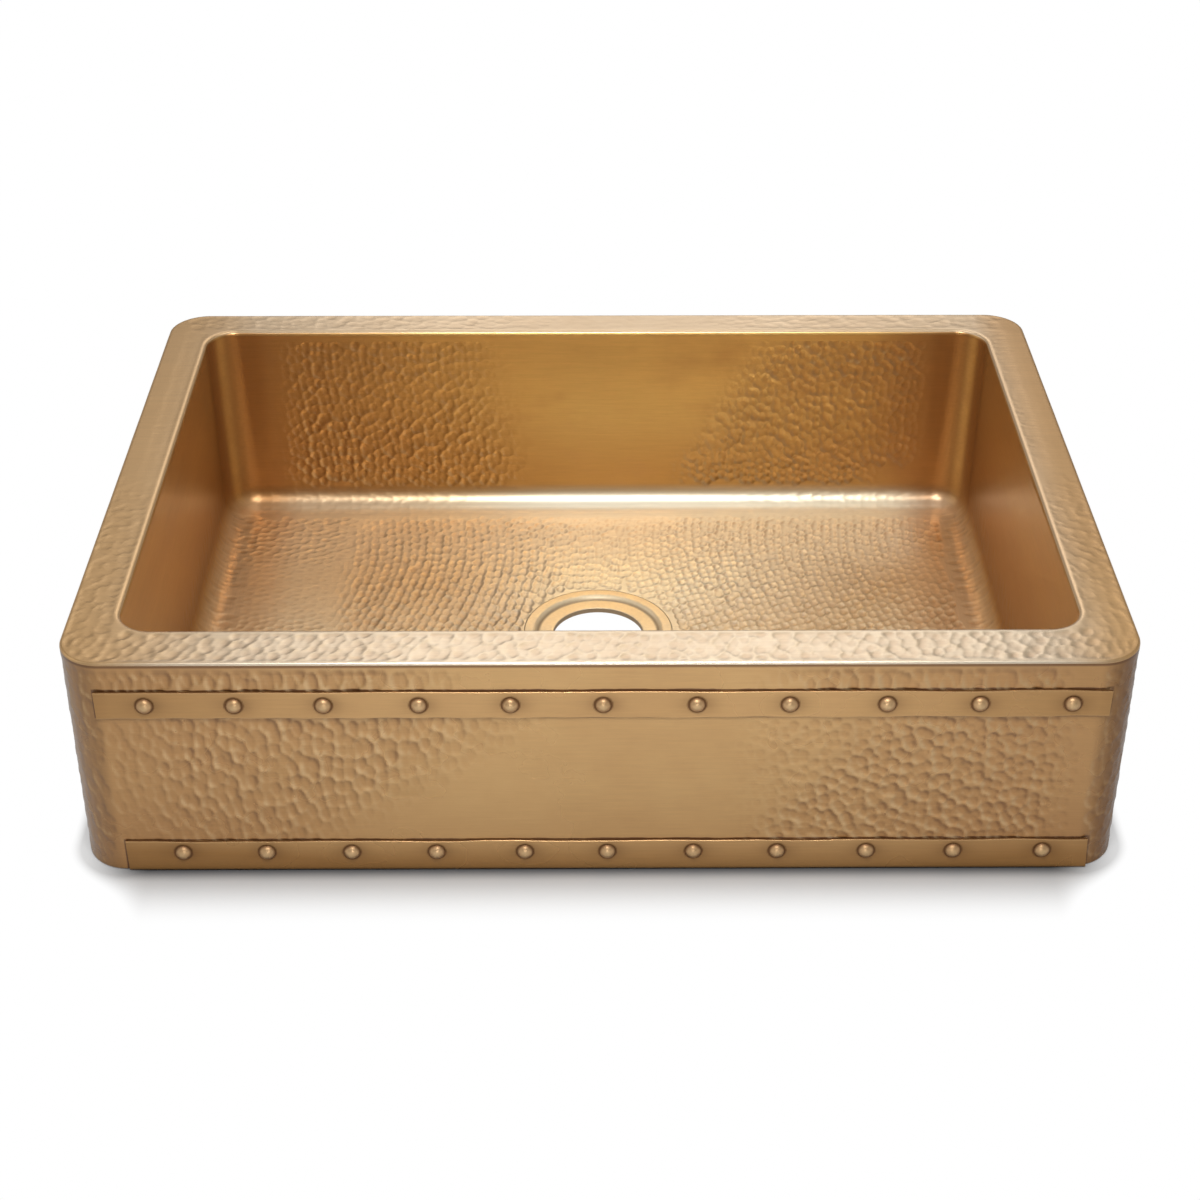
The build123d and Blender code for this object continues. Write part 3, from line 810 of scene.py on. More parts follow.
def bowl_stains_light_and_shade(n, colour):
    """The walls are painted darker above the cove, towards their sides and beside their back corners, a painted shade,
    and each back corner carries a painted golden highlight stripe; streaky stains run down the walls. The cove is
    painted darker towards its ends. The floor is browner at its two ends, and a painted light makes it palest right of
    the drain and near the back wall."""
    aged_and_shade, across = finish().aged_and_shade, abs(n.x)
    wall = n.z.step(0.013, 0.036)
    level = 1.0 - wall
    # Painted shade on the walls: darker low down above the cove, towards their sides, most on the right, and a little
    # in the middle.
    sides = (n.x.step(-0.28, -0.40) * 0.12 | n.x.step(0.385, 0.405) * 0.52) + across.step(0.25, 0.05) * 0.14
    colour = colour.mix(wall * (n.z.step(0.170, 0.035) * 0.85 + sides), WALL_SHADE)
    colour = colour.mix(across.step(0.29, 0.37) * 0.62 | n.x.step(-0.12, -0.40) * 0.27, aged_and_shade)
    # Painted shade in a band beside each back corner, and a painted golden highlight stripe down the middle of the
    # corner's curve, broken up by noise.
    turn = across.step(0.352, 0.370) * n.y.step(0.245, 0.268) * wall
    colour = colour.mix(turn * 0.85, TURN_SHADE)
    lit = n.noise(n.stretched((20.0, 20.0, 14.0)), 2.0, 3.0, 0.6).spread(0.35, 0.65, 0.60, 1.0)
    middle = (CORNER_X - CORNER_BACK) * MM
    colour = colour.mix(turn * abs(across - n.y - middle).step(0.013, 0.001) * lit, TURN_HIGHLIGHT)
    stain = n.noise(n.stretched((5.0, 1.0, 9.0)), 1.6, 3.0, 0.55).spread(0.50, 0.66, 0.0, 0.35)
    colour = colour.mix(stain * wall, aged_and_shade)
    # Painted shade: the cove darker towards its ends, and the back a little darker all along.
    ends = n.x.step(-0.05, -0.33) * 0.55 | n.x.step(0.27, 0.36) * 0.45
    cove = n.z.step(0.0102, 0.014) * n.y.step(0.255, 0.275) * ends
    colour = colour.mix(cove + n.y.step(0.262, 0.272) * 0.10, aged_and_shade)
    # Painted light: a pale patch right of the drain, and a pale stretch of floor along the back wall, more to the
    # right.
    heart = n.x.step(-0.20, 0.0) * (n.x - n.y * 0.7).spread(0.02, 0.22, 1.0, 0.0) * n.y.step(-0.02, 0.12)
    colour = colour.mix(heart * level * 0.85, FLOOR_LIT_PATCH)
    rear = n.y.step(0.12, 0.23) * level * n.x.spread(-0.10, 0.20, 0.25, 0.75)
    return colour.mix(rear * across.step(0.37, 0.32), FLOOR_REAR_LIT)


def apron_brass():
    """Its lacquer has come off the right front corner."""
    return brass("Hammered Brass, Apron", (3.0, 60.0, 90.0), base=APRON_BRASS, shade=apron_age_and_shade, metal=0.45,
                 bare=lambda n: n.x.step(0.420, 0.440))


def bowl_brass(name, grain, dull=0.85, hollow=0.6):
    # The floor's brass is a paler copy of the brass standing for the brighter light on the floor; it turns into the
    # walls' golden brass by height.
    return brass(name, grain, base=finish().lit_floor_brass, metal=0.5, roughness=0.36, tone=0.15, coat=0.2, hollow=hollow,
                 dull=dull, bright=0.7, above=(0.012, 0.034, finish().gold, 0.8), shade=bowl_stains_light_and_shade)


def wall_brass():
    return bowl_brass("Bowl Brass, Back and Front", (3.0, 60.0, 60.0), dull=0.66, hollow=0.36)


def rubber(name):
    n = Finish(name)
    dust = n.noise(n.coords, 60.0, 5.0, 0.65)
    pores = n.noise(n.coords, 900.0, 2.0, 0.5)
    return n.show("ShaderNodeBsdfPrincipled", {
        "Base Color": n.mix(dust.spread(0.35, 0.75, 0.0, 0.35), finish().rubber, RUBBER_DUST),
        "Roughness": dust.spread(0.3, 0.7, 0.7, 0.85),
        "Normal": n.value("ShaderNodeBump", {"Height": pores, "Strength": 0.3, "Distance": 0.0004})})


# ---------------------------------------------------------------- layouts of blows
# u and v are places along a sheet in mm, or an angle round a corner or cove. Each swarm gives the stretch of u and
# v that it fills, the sheet, how far apart its blows are, and their size and depth.
def round_corner(x, face, way):
    """Where a blow lands on a rounded upright corner, by its angle round from the face and its height."""
    r = OUTER_RADIUS
    return lambda u, v: np.array((
        x * (HALF_WIDTH - r + r * math.sin(u)), face + way * r * (1 - math.cos(u)), v))


def apron_blows():
    marks = Marks(1)
    face = lambda u, v: np.array((u, APRON_FACE, v))

    def left(u, v):
        down = 162 - v
        fade = soft(u, -70 - down * 1.25, -175 - down * 1.0) + 0.25 * soft(u, -20 - down * 1.3, -70 - down * 1.3)
        return min(fade, 1.0) * (0.35 + 0.65 * soft(u, -400, -330)) * (0.60 + 0.40 * soft(v, 40, 80))

    def right(u, v):
        full = soft(u, 215 - (162 - v) * 0.85, 275 - (162 - v) * 0.95)
        ends = (1 - 0.7 * soft(u, 372, 396)) * (1 - soft(u, 402, 412))
        return max(full, 0.4 * soft(u, 90, 190)) * ends * (0.75 + 0.25 * soft(v, 40, 60))

    def band(u, v):
        return max(soft(u, -95, -190) * (0.6 + 0.4 * soft(u, -400, -360)),
                   soft(u, 110, 215)) * (1 - soft(u, 372, 398)) * soft(v, 220, 214)

    marks.swarm((-418, 20), (34, 164), face, (9.2, 13.0), 6.2, 1.10, weight=left, along=UP, stretch=1.6,
                warp=lambda u, v: (u - 10 * math.sin((v - 40) / 42), v), jitter=0.4)
    marks.swarm((60, 412), (34, 164), face, (8.8, 9.6), 5.9, 1.05, weight=right, along=UP, stretch=1.08, jitter=0.5)
    marks.swarm((-440, 415), (194, 217), face, (8.6, 14.0), 5.8, 1.05, weight=band, along=UP, stretch=1.9,
                warp=lambda u, v: (u + 0.25 * (205 - v) * (1 if u < 0 else -1), v), jitter=0.4)
    for x, depth in ((-1, 0.5), (1, 0.55)):
        marks.swarm((0.2, 1.6), (8, 212), round_corner(x, APRON_FACE, 1), (0.2, 9.5), 5.4, depth, along=UP,
                    stretch=1.35, jitter=0.55)
    return marks.blows


def rim_blows():
    marks = Marks(2)
    top = lambda u, v: np.array((u, v, RIM_TOP))
    slash = unit(np.array((0.45, 1.0, 0.0)))
    marks.swarm((-452, 452), (-328, -286), top, (8.4, 10.4), 5.7, 0.54, jitter=0.42, along=slash, stretch=1.4,
                weight=lambda u, v: 1 - 0.35 * soft(abs(u), 405, 440), warp=lambda u, v: (u + 0.45 * (v + 306), v))
    for x in (-1, 1):
        marks.swarm(sorted((x * 418, x * 453)), (-288, 60), top, (9.5, 7.2), 4.9, 0.28, jitter=0.42, along=ACROSS,
                    stretch=1.45, weight=lambda u, v: soft(v, 40, -160), vary=0.3)
        marks.swarm(sorted((x * 419, x * 440)), (-60, 296), top, (9.0, 5.4), 3.4, 0.16, jitter=0.14, along=ACROSS,
                    stretch=2.4, weight=lambda u, v: soft(v, -60, 60) * soft(abs(u), 442, 428))
    marks.swarm((-435, 435), (304, 331), top, (10.0, 9.0), 6.0, 0.22, jitter=0.5, along=ACROSS, stretch=1.2,
                weight=lambda u, v: 0.3 + 0.7 * soft(abs(u - 40), 60, 180))
    return marks.blows


def wall_out(v, box_index):
    """Where a bowl wall stands at height v; box_index picks the wall."""
    share = (SEAM_HEIGHT - v) / (SEAM_HEIGHT - FLOOR_HEIGHT)
    return MOUTH_BOX[box_index] + (FLOOR_BOX[box_index] - MOUTH_BOX[box_index]) * share


def bowl_blows():
    marks = Marks(3)
    floor = lambda u, v: np.array((u, v, FLOOR_HEIGHT))
    back = lambda u, v: np.array((u, wall_out(v, 3), v))
    front = lambda u, v: np.array((u, wall_out(v, 2), v))

    def clear_of_drain(u, v):
        return soft(math.hypot(u - DRAIN[0], v - DRAIN[1]), SEAT_FLANGE + 2, SEAT_FLANGE + 9)

    def floor_left(u, v):
        return clear_of_drain(u, v) * (1 - 0.5 * soft(u, -90, -10)) * soft(u, -296, -225) * soft(v, 272, 235)

    def floor_right(u, v):
        return clear_of_drain(u, v) * (0.45 + 0.55 * soft(u, 40, 130)) * soft(v, 272, 235) * (
            1 - 0.55 * soft(u, 290, 350) * soft(v, 60, 120) * soft(v, 230, 180))

    def far_left(u, v):
        return soft(u, -240, -290) * (0.3 + 0.7 * max(soft(v, 150, 205), soft(v, 70, 10)))

    def back_force(u, v):
        up = v - 30
        left = soft(u, -352, -310) * soft(u, -58 - up * 0.12, -140 - up * 0.22) * (0.55 + 0.45 * soft(v, 150, 70))
        right = soft(u, 55 + up * 0.55, 120 + up * 0.55) * soft(u, 365, 330) * (0.75 + 0.35 * soft(v, 110, 60))
        return max(left, right, 0.0) * soft(v, 212, 203) * soft(v, 28, 44)

    marks.swarm((-300, 30), (-250, 270), floor, (8.6, 12.0), 5.5, 1.08, weight=floor_left, along=DEEP, stretch=1.6,
                warp=lambda u, v: (u + 26 * math.sin((v - 40) / 95), v + 6 * math.sin(u / 40)), jitter=0.16)
    marks.swarm((30, 372), (-250, 270), floor, (8.8, 10.5), 5.4, 1.0, weight=floor_right, along=DEEP, stretch=1.35,
                warp=lambda u, v: (u - 20 * math.sin((v - 60) / 90), v + 8 * math.sin(u / 55)), jitter=0.2)
    marks.swarm((-384, -230), (-250, 262), floor, (9.6, 9.2), 5.0, 0.62, weight=far_left, along=ACROSS, stretch=1.15)
    marks.swarm((-362, -20), (30, 208), back, (7.7, 10.6), 5.3, 0.92, weight=back_force, along=UP, stretch=1.35,
                warp=lambda u, v: (u + 9 * math.sin(v / 40) + 4 * math.sin(u / 60), v))
    marks.swarm((50, 372), (60, 208), back, (7.7, 9.9), 5.2, 1.10, weight=back_force, along=UP, stretch=1.3,
                warp=lambda u, v: (u + 0.22 * (v - 120) + 8 * math.sin(v / 35), v), jitter=0.34)
    marks.swarm((72, 322), (37, 66), back, (8.3, 9.0), 5.2, 1.25, along=UP, stretch=1.05, jitter=0.15,
                weight=lambda u, v: soft(u, 75, 130) * soft(u, 320, 280))
    marks.swarm((-375, 375), (34, 205), front, (9.5, 12.0), 6.8, 0.65, along=UP, stretch=1.2, jitter=0.45)

    r, cove_y = COVE_RADIUS, FLOOR_BOX[3] - COVE_RADIUS
    back_cove = lambda u, a: np.array((u, cove_y + r * math.cos(a), FLOOR_HEIGHT + r * (1 - math.sin(a))))
    marks.swarm((-385, 385), (0.15, 1.5), back_cove, (9.0, 0.45), 5.8, 0.16,
                weight=lambda u, a: max(soft(u, -100, -200), soft(u, 130, 220)))
    for x in (-1, 1):
        cove_x = x * (FLOOR_BOX[1] - r)
        side_cove = lambda v, a: np.array((cove_x + x * r * math.cos(a), v, FLOOR_HEIGHT + r * (1 - math.sin(a))))
        marks.swarm((-250, 268), (0.55, 1.65), side_cove, (8.5, 0.62), 5.4, 0.40, stretch=2.0,
                    along=lambda v, a: np.array((-x * math.sin(a), 0.0, -math.cos(a))))
        marks.swarm((-235, 250), (28, 60), lambda v, z: np.array((wall_out(z, 1) * x, v, z)), (7.0, 30.0), 4.6, 0.28,
                    along=UP, stretch=2.6)
    return marks.blows


def skirt_blows():
    marks = Marks(4)
    plain = {"along": UP, "stretch": 1.2, "jitter": 0.5}
    for x in (-HALF_WIDTH, HALF_WIDTH):
        marks.swarm((-300, 304), (10, 214), lambda u, v: np.array((x, u, v)), (11.5, 13.5), 7.8, 0.75, **plain)
    marks.swarm((-415, 415), (12, 212), lambda u, v: np.array((u, BACK_FACE, v)), (11.5, 13.5), 7.8, 0.75, **plain)
    for x in (-1, 1):
        marks.swarm((0.0, 1.57), (12, 212), round_corner(x, BACK_FACE, -1), (0.3, 13.0), 7.2, 0.70, **plain)
    return marks.blows


# ---------------------------------------------------------------- sheets
EASED_FROM, EASED_OVER = 207.0, 9.0
EASED_SHARE = 0.09


def seam_ease(height):
    """How hard blows may land at a height, so that they leave the turned edge of the rim straight."""
    t = np.clip((height - EASED_FROM) / EASED_OVER, 0, 1)
    return 1 - t * t * (3 - 2 * t)


def turned(radius, angles):
    """How far in and up a bend has come at each of these angles, and the angle."""
    return [(radius * (1 - math.cos(a)), radius * math.sin(a), a) for a in np.radians(angles)]


def sheet_of(rows):
    """A sheet's points and the way it faces there, from rows of (outline, height, facing outward, facing up)."""
    points = [np.column_stack((outline, np.full(len(outline), z))) for outline, z, _, _ in rows]
    lie = [np.column_stack((out, np.full(len(out), up))) for _, _, out, up in rows]
    return np.stack(points, 1), unit(np.stack(lie, 1))


def skirt_piece(name, sides, blows, material, spacing):
    """A panel of the skirt: its flange, round its bottom bend and up to the rim."""
    outline, normal = ring_points(OUTER_BOX, OUTER_RADIUS, columns(OUTER_BOX, OUTER_RADIUS, sides, spacing, True))
    rows = [(inset, 0.0, 0.0, -1.0) for inset in (SKIRT_FLANGE, SKIRT_FLANGE * 0.5, SKIRT_BEND + 1.0)]
    rows += [(inset, SKIRT_BEND + rise, math.cos(a), math.sin(a))
             for inset, rise, a in turned(SKIRT_BEND, range(-90, 1, 18))]
    count = round((SEAM_HEIGHT - SKIRT_BEND) / spacing)
    rows += [(0.0, SKIRT_BEND + (SEAM_HEIGHT - SKIRT_BEND) * k / count, 1.0, 0.0) for k in range(1, count + 1)]
    rows.append((0.0, SEAM_HEIGHT + spacing, 1.0, 0.0))
    points, lie = sheet_of([(outline - normal * inset, z, normal * out, up) for inset, z, out, up in rows])
    keep = [0, 2, 5, 8, *range(12, len(rows) - 2, 8)]
    shell = Shell()
    shell.add(points, lie, blows, material, (1, 1, 0, 1), ease=seam_ease(points[..., 2]), keep=keep, step=6)
    return shell.make(name, material)


def rim_piece(blows, material, outside, inside, spacing):
    """The rim, from the bowl's seam over its flat top to the skirt's seam."""
    cols = columns(MOUTH_BOX, MOUTH_RADIUS, SIDES, spacing, False)
    cols = [("front_left", 1 - 1 / 30)] + cols + [("front", 1 / 400)]
    inner, inner_normal = ring_points(MOUTH_BOX, MOUTH_RADIUS, cols)
    outer, outer_normal = ring_points(OUTER_BOX, OUTER_RADIUS, cols)

    def inner_row(inset, z, a):
        return inner + inner_normal * inset, z, -inner_normal * math.cos(a), math.sin(a)

    def outer_row(inset, z, a):
        return outer - outer_normal * inset, z, outer_normal * math.cos(a), math.sin(a)

    rows = [inner_row(0.0, SEAM_HEIGHT + up, 0.0) for up in (-spacing, 0.0, 1.8, 3.6, 5.3)]
    rows += [inner_row(inset, RIM_TOP - RIM_INNER_ROUND + rise, a)
             for inset, rise, a in turned(RIM_INNER_ROUND, range(0, 91, 18))]
    flat = round((RIM_WIDTH - RIM_INNER_ROUND - RIM_OUTER_ROUND) / spacing)
    shares = [k / flat for k in range(1, flat)]
    ease = [0.0] * len(rows) + [min(1.0, min(share, 1 - share) / EASED_SHARE) for share in shares]
    top_from, top_to = inner + inner_normal * RIM_INNER_ROUND, outer - outer_normal * RIM_OUTER_ROUND
    rows += [(top_from + (top_to - top_from) * share, RIM_TOP, inner * 0.0, 1.0) for share in shares]
    rows += [outer_row(inset, RIM_TOP - RIM_OUTER_ROUND + rise, a)
             for inset, rise, a in turned(RIM_OUTER_ROUND, range(90, -1, -18))]
    rows += [outer_row(0.0, z, 0.0) for z in np.linspace(RIM_TOP - RIM_OUTER_ROUND, SEAM_HEIGHT, 6)[1:]]
    rows.append(outer_row(0.0, SEAM_HEIGHT - spacing, 0.0))
    ease += [seam_ease(z) for _, z, _, _ in rows[len(ease):]]
    points, lie = sheet_of(rows)
    keep = [0, 3, 6, 9, 9 + flat // 3, 9 + 2 * flat // 3, 9 + flat, 12 + flat, len(rows) - 8]
    shell = Shell()
    shell.add(points, lie, blows, material, (1, 1, 1, 1), ease=np.tile(ease, (len(cols), 1)), keep=keep, step=5,
              open_ends=True)

    def which(middle):
        x, y, z = middle
        if z > RIM_TOP - RIM_OUTER_ROUND:
            return 0
        x0, x1, y0, y1 = MOUTH_BOX
        return 2 if x0 - 3 < x < x1 + 3 and y0 - 3 < y < y1 + 3 else 1

    return shell.make("rim_deck_hammered", material, outside, inside, choose=which)


def bowl_wall(name, sides, blows, material, spacing):
    """A wall of the bowl: from its top seam down, round the cove and in to the floor's corner lines."""
    cols = columns(FLOOR_BOX, FLOOR_RADIUS, sides, spacing, True)
    top, _ = ring_points(MOUTH_BOX, MOUTH_RADIUS, cols)
    foot, normal = ring_points(FLOOR_BOX, FLOOR_RADIUS, cols)
    drop, r = SEAM_HEIGHT - FLOOR_HEIGHT, COVE_RADIUS
    over = ((top - foot) * normal).sum(-1, keepdims=True)
    lean = over[:, 0] / drop
    tilt = np.arctan(lean)
    slide = (top - foot) - normal * over
    centre_in = r * np.tan(tilt) - r / np.cos(tilt)
    wall_end = FLOOR_HEIGHT + r * (1 - np.sin(tilt))
    rows_wall, rows_cove = round((drop - r) / spacing), round(r * math.pi / 2 / spacing)
    rows_flat = round((FLOOR_RADIUS - r) / spacing)

    def row(z, out, angle):
        share = (z - FLOOR_HEIGHT) / drop
        place = foot + slide * share[:, None] + normal * out[:, None]
        return place, z, -normal * np.cos(angle)[:, None], -np.sin(angle)

    heights = [SEAM_HEIGHT + (wall_end - SEAM_HEIGHT) * k / rows_wall for k in range(-1, rows_wall + 1)]
    angles = [-tilt + (-math.pi / 2 + tilt) * k / rows_cove for k in range(1, rows_cove + 1)]
    rows = [row(z, lean * (z - FLOOR_HEIGHT), -tilt) for z in heights]
    rows += [row(FLOOR_HEIGHT + r + r * np.sin(a), centre_in + r * np.cos(a), a) for a in angles]
    rows += [row(np.full(len(cols), FLOOR_HEIGHT), centre_in + (-FLOOR_RADIUS - centre_in) * k / rows_flat, angles[-1])
             for k in range(1, rows_flat + 1)]
    rows_bent = rows_wall + rows_cove
    keep = [*range(0, rows_wall, 10), *range(rows_wall, rows_bent, 4), rows_bent]
    shell = Shell()
    shell.add(*sheet_of(rows), blows, material, (1, 1, 1, 0), keep=keep, step=6)
    return shell.make(name, material)


def level_sheet(shell, across, blows, material, **more):
    """Adds a level stretch of the bowl's floor, from its points' x and y, with a spare row all round."""
    points = np.dstack((across, np.full(across.shape[:2], FLOOR_HEIGHT)))
    shell.add(points, np.zeros_like(points) + UP, blows, material, (1, 1, 1, 1), **more)


def floor_grid(x0, x1, y0, y1):
    nx, ny = round((x1 - x0) / BOWL_GRID), round((y1 - y0) / BOWL_GRID)
    x = x0 + (x1 - x0) * np.arange(-1, nx + 2) / nx
    y = y0 + (y1 - y0) * np.arange(-1, ny + 2) / ny
    return np.dstack(np.meshgrid(x, y, indexing="ij"))


def drain_grid():
    """The floor between a square and the drain seat's edge."""
    per_side, rows = round(2 * PATCH_HALF / BOWL_GRID), 22
    corners = np.array(((-1, -1), (1, -1), (1, 1), (-1, 1), (-1, -1)), float)
    square = [a + (b - a) * i / per_side for a, b in zip(corners, corners[1:]) for i in range(per_side)]
    square = np.array([square[-1]] + square + [square[0], square[1]]) * PATCH_HALF
    circle = unit(square) * SEAT_FLANGE
    return np.stack([DRAIN + circle + (square - circle) * j / rows for j in range(-1, rows + 2)], 1)


# ---------------------------------------------------------------- operators
class SinkOperator:
    bl_options = {"REGISTER", "UNDO"}

    def execute(self, context):
        self.build()
        return {"FINISHED"}


class SINK_OT_apron(SinkOperator, bpy.types.Operator):
    """Hammers the apron front and both of its rounded corners"""
    bl_idname = "sink.apron"
    bl_label = "Hammer the Apron Front"

    def build(self):
        piece = skirt_piece("apron_front_hammered", ("front_left", "front", "front_right"), apron_blows(),
                            apron_brass(), APRON_GRID)
        settle(piece, "apron_front")


class SINK_OT_skirt(SinkOperator, bpy.types.Operator):
    """Hammers the two side panels and the back panel"""
    bl_idname = "sink.skirt"
    bl_label = "Hammer the Sides and Back"

    def build(self):
        blows = skirt_blows()
        side = brass("Hammered Brass, Sides", (60.0, 3.0, 90.0), shade=side_age_and_shade, metal=0.45)
        rear = brass("Hammered Brass, Back", (3.0, 60.0, 90.0), shade=side_age_and_shade, metal=0.45)
        for name, sides, material in (
                ("left_side_panel", ("left",), side),
                ("right_side_panel", ("right",), side),
                ("back_panel", ("back_right", "back", "back_left"), rear)):
            piece = skirt_piece(name + "_hammered", sides, blows, material, SKIRT_GRID)
            settle(piece, name)


class SINK_OT_rim(SinkOperator, bpy.types.Operator):
    """Hammers the broad rim and turns its edges down"""
    bl_idname = "sink.rim"
    bl_label = "Hammer the Rim"

    def build(self):
        # The rim's pale brass is a lighter copy of the brass, standing for the light that falls on its top.
        material = brass("Hammered Brass, Rim", (3.0, 60.0, 60.0), tone=0.2, metal=0.75, coat=0.35,
                         base=finish().pale, roughness=0.32, shade=rim_light_and_shade, dull=0.55)
        piece = rim_piece(rim_blows() + apron_blows(), material, apron_brass(), wall_brass(), RIM_GRID)
        settle(piece, "rim_deck")


class SINK_OT_bowl(SinkOperator, bpy.types.Operator):
    """Hammers the bowl's four walls, with their coves, and its floor round the drain"""
    bl_idname = "sink.bowl"
    bl_label = "Hammer the Bowl"

    def build(self):
        blows, wall = bowl_blows(), wall_brass()
        side = bowl_brass("Bowl Brass, Sides", (60.0, 3.0, 60.0))
        pieces = [bowl_wall(name, sides, blows, material, spacing) for name, sides, material, spacing in (
            ("bowl_back_wall", ("back_right", "back", "back_left"), wall, BOWL_GRID),
            ("bowl_left_wall", ("left",), side, BOWL_SIDE_GRID),
            ("bowl_right_wall", ("right",), side, BOWL_SIDE_GRID),
            ("bowl_front_wall", ("front_left", "front", "front_right"), wall, BOWL_FRONT_GRID))]
        half, front, back = PATCH_HALF, CORNER_FRONT, CORNER_BACK
        for name, stretches in (
                ("bowl_floor_left", ((-CORNER_X, -half, front, back),)),
                ("bowl_floor_right", ((half, CORNER_X, front, back),)),
                ("bowl_floor_middle", ((-half, half, front, DRAIN[1] - half), (-half, half, DRAIN[1] + half, back)))):
            shell = Shell()
            for stretch in stretches:
                level_sheet(shell, floor_grid(*stretch), blows, wall, step=12)
            if name == "bowl_floor_middle":
                level_sheet(shell, drain_grid(), blows, wall, open_ends=True)
            pieces.append(shell.make(name, wall))
        for piece in pieces:
            settle(piece, "bowl")


def lathe(name, profile, centre, steps, material, dirt_and_shadow):
    """Turns a closed profile of (radius, height) round an upright axis through centre, in mm; the last argument gives
    how dark the piece is painted at a radius and height, soiling and painted shade together."""
    n = len(profile)
    points, faces = [], []
    for k in range(steps):
        a = 2 * math.pi * k / steps
        points += [(centre[0] + r * math.cos(a), centre[1] + r * math.sin(a), z) for r, z in profile]
        here, there = k * n, (k + 1) % steps * n
        faces += [(here + j, there + j, there + (j + 1) % n, here + (j + 1) % n) for j in range(n)]
    return drawn(name, points, faces, 50, material, grime=[dirt_and_shadow(r, z) for r, z in profile] * steps)


def arc(cx, cz, r, start, stop, count):
    angles = [math.radians(start + (stop - start) * k / count) for k in range(count + 1)]
    return [(cx + r * math.cos(a), cz + r * math.sin(a)) for a in angles]


class SINK_OT_drain(SinkOperator, bpy.types.Operator):
    """Turns the drain seat: flange, rounded shoulder, ledge and the lip through the floor"""
    bl_idname = "sink.drain"
    bl_label = "Turn the Drain Seat"

    def build(self):
        material = brass("Turned Brass, Drain", (40.0, 40.0, 40.0), tone=0.15, roughness=0.36,
                         base=finish().lit_floor_brass, metal=0.5, coat=0.2)
        rim, top, ledge, foot = SEAT_FLANGE, FLOOR_HEIGHT, FLOOR_HEIGHT - SEAT_LEDGE, SEAT_LOW[2]
        profile = [(rim, top - SHEET), (rim, top - 0.5), (rim - 0.5, top), (74.3, top), (71.0, top)]
        profile += arc(67.5, top - 6.0, 6.0, 90, 130, 8)[1:] + [(62.0, ledge + 0.5)]
        profile += [(r, ledge) for r in (61.2, 60.4, 59.0, 55.0, 50.0, 48.5)]
        profile += arc(46.8, ledge - 0.8, 0.8, 90, 180, 5)
        profile += [(46.0, foot), (48.0, foot), (48.0, ledge - SHEET), (60.0, ledge - SHEET), (66.0, top - SHEET)]

        # How dark the seat is painted: in the crease at the ledge, along the flange's outer edge and down the throat,
        # soiling together with painted shade in these recesses.
        def dirt_and_shadow(r, z):
            crease = soft(abs(r - 61.6), 2.4, 0.6) * 0.55
            outline = soft(r, rim - 1.2, rim - 0.3) * 0.6
            throat = 0.62 if r < 46.5 and z < ledge - 0.6 else 0.0
            return max(crease, outline, throat)

        piece = lathe("drain_seat_turned", profile, DRAIN, 192, material, dirt_and_shadow)
        settle(piece, "drain_seat")


def rivet_places(node):
    """Middle of each rivet of a row, as (x, z) in mm, read from its CAD node."""
    points = np.array([v.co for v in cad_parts[node].data.vertices]) / MM
    points = points[np.argsort(points[:, 0])]
    gaps = np.where(np.diff(points[:, 0]) > 20)[0]
    groups = np.split(points, gaps + 1)
    return [((g[:, 0].min() + g[:, 0].max()) / 2, (g[:, 2].min() + g[:, 2].max()) / 2) for g in groups]


DIP_DEPTH, DIP_RADIUS = 0.35, 6.0
# The dark ring and the smudge round each rivet head are painted shadow.
RING_RADIUS, RING_FADE, SMUDGE_RADIUS = 8.0, 0.85, 9.0


def round_rivets(places, x, z):
    """How deep the dip round the rivets is at a place on a strap, and how dark the strap is painted there: a dark ring
    round each head, a dark joint deepened by painted shadow, and a wide smudge heavier to its right, a painted shadow.
    """
    dip = dirt_and_shadow = 0.0
    for px, pz in places:
        if abs(x - px) < 40:
            d = math.hypot(x - px, z - pz)
            ring = 0.9 * math.exp(-(max(0.0, d - RING_RADIUS) / RING_FADE) ** 2)
            smudge = math.exp(-(math.hypot((x - px) * 0.62, z - pz) / SMUDGE_RADIUS) ** 2)
            dip = max(dip, DIP_DEPTH * math.exp(-((d - DIP_RADIUS) / DIP_RADIUS) ** 2))
            dirt_and_shadow = max(dirt_and_shadow, ring, (0.52 if x > px else 0.38) * smudge)
    return dip, dirt_and_shadow


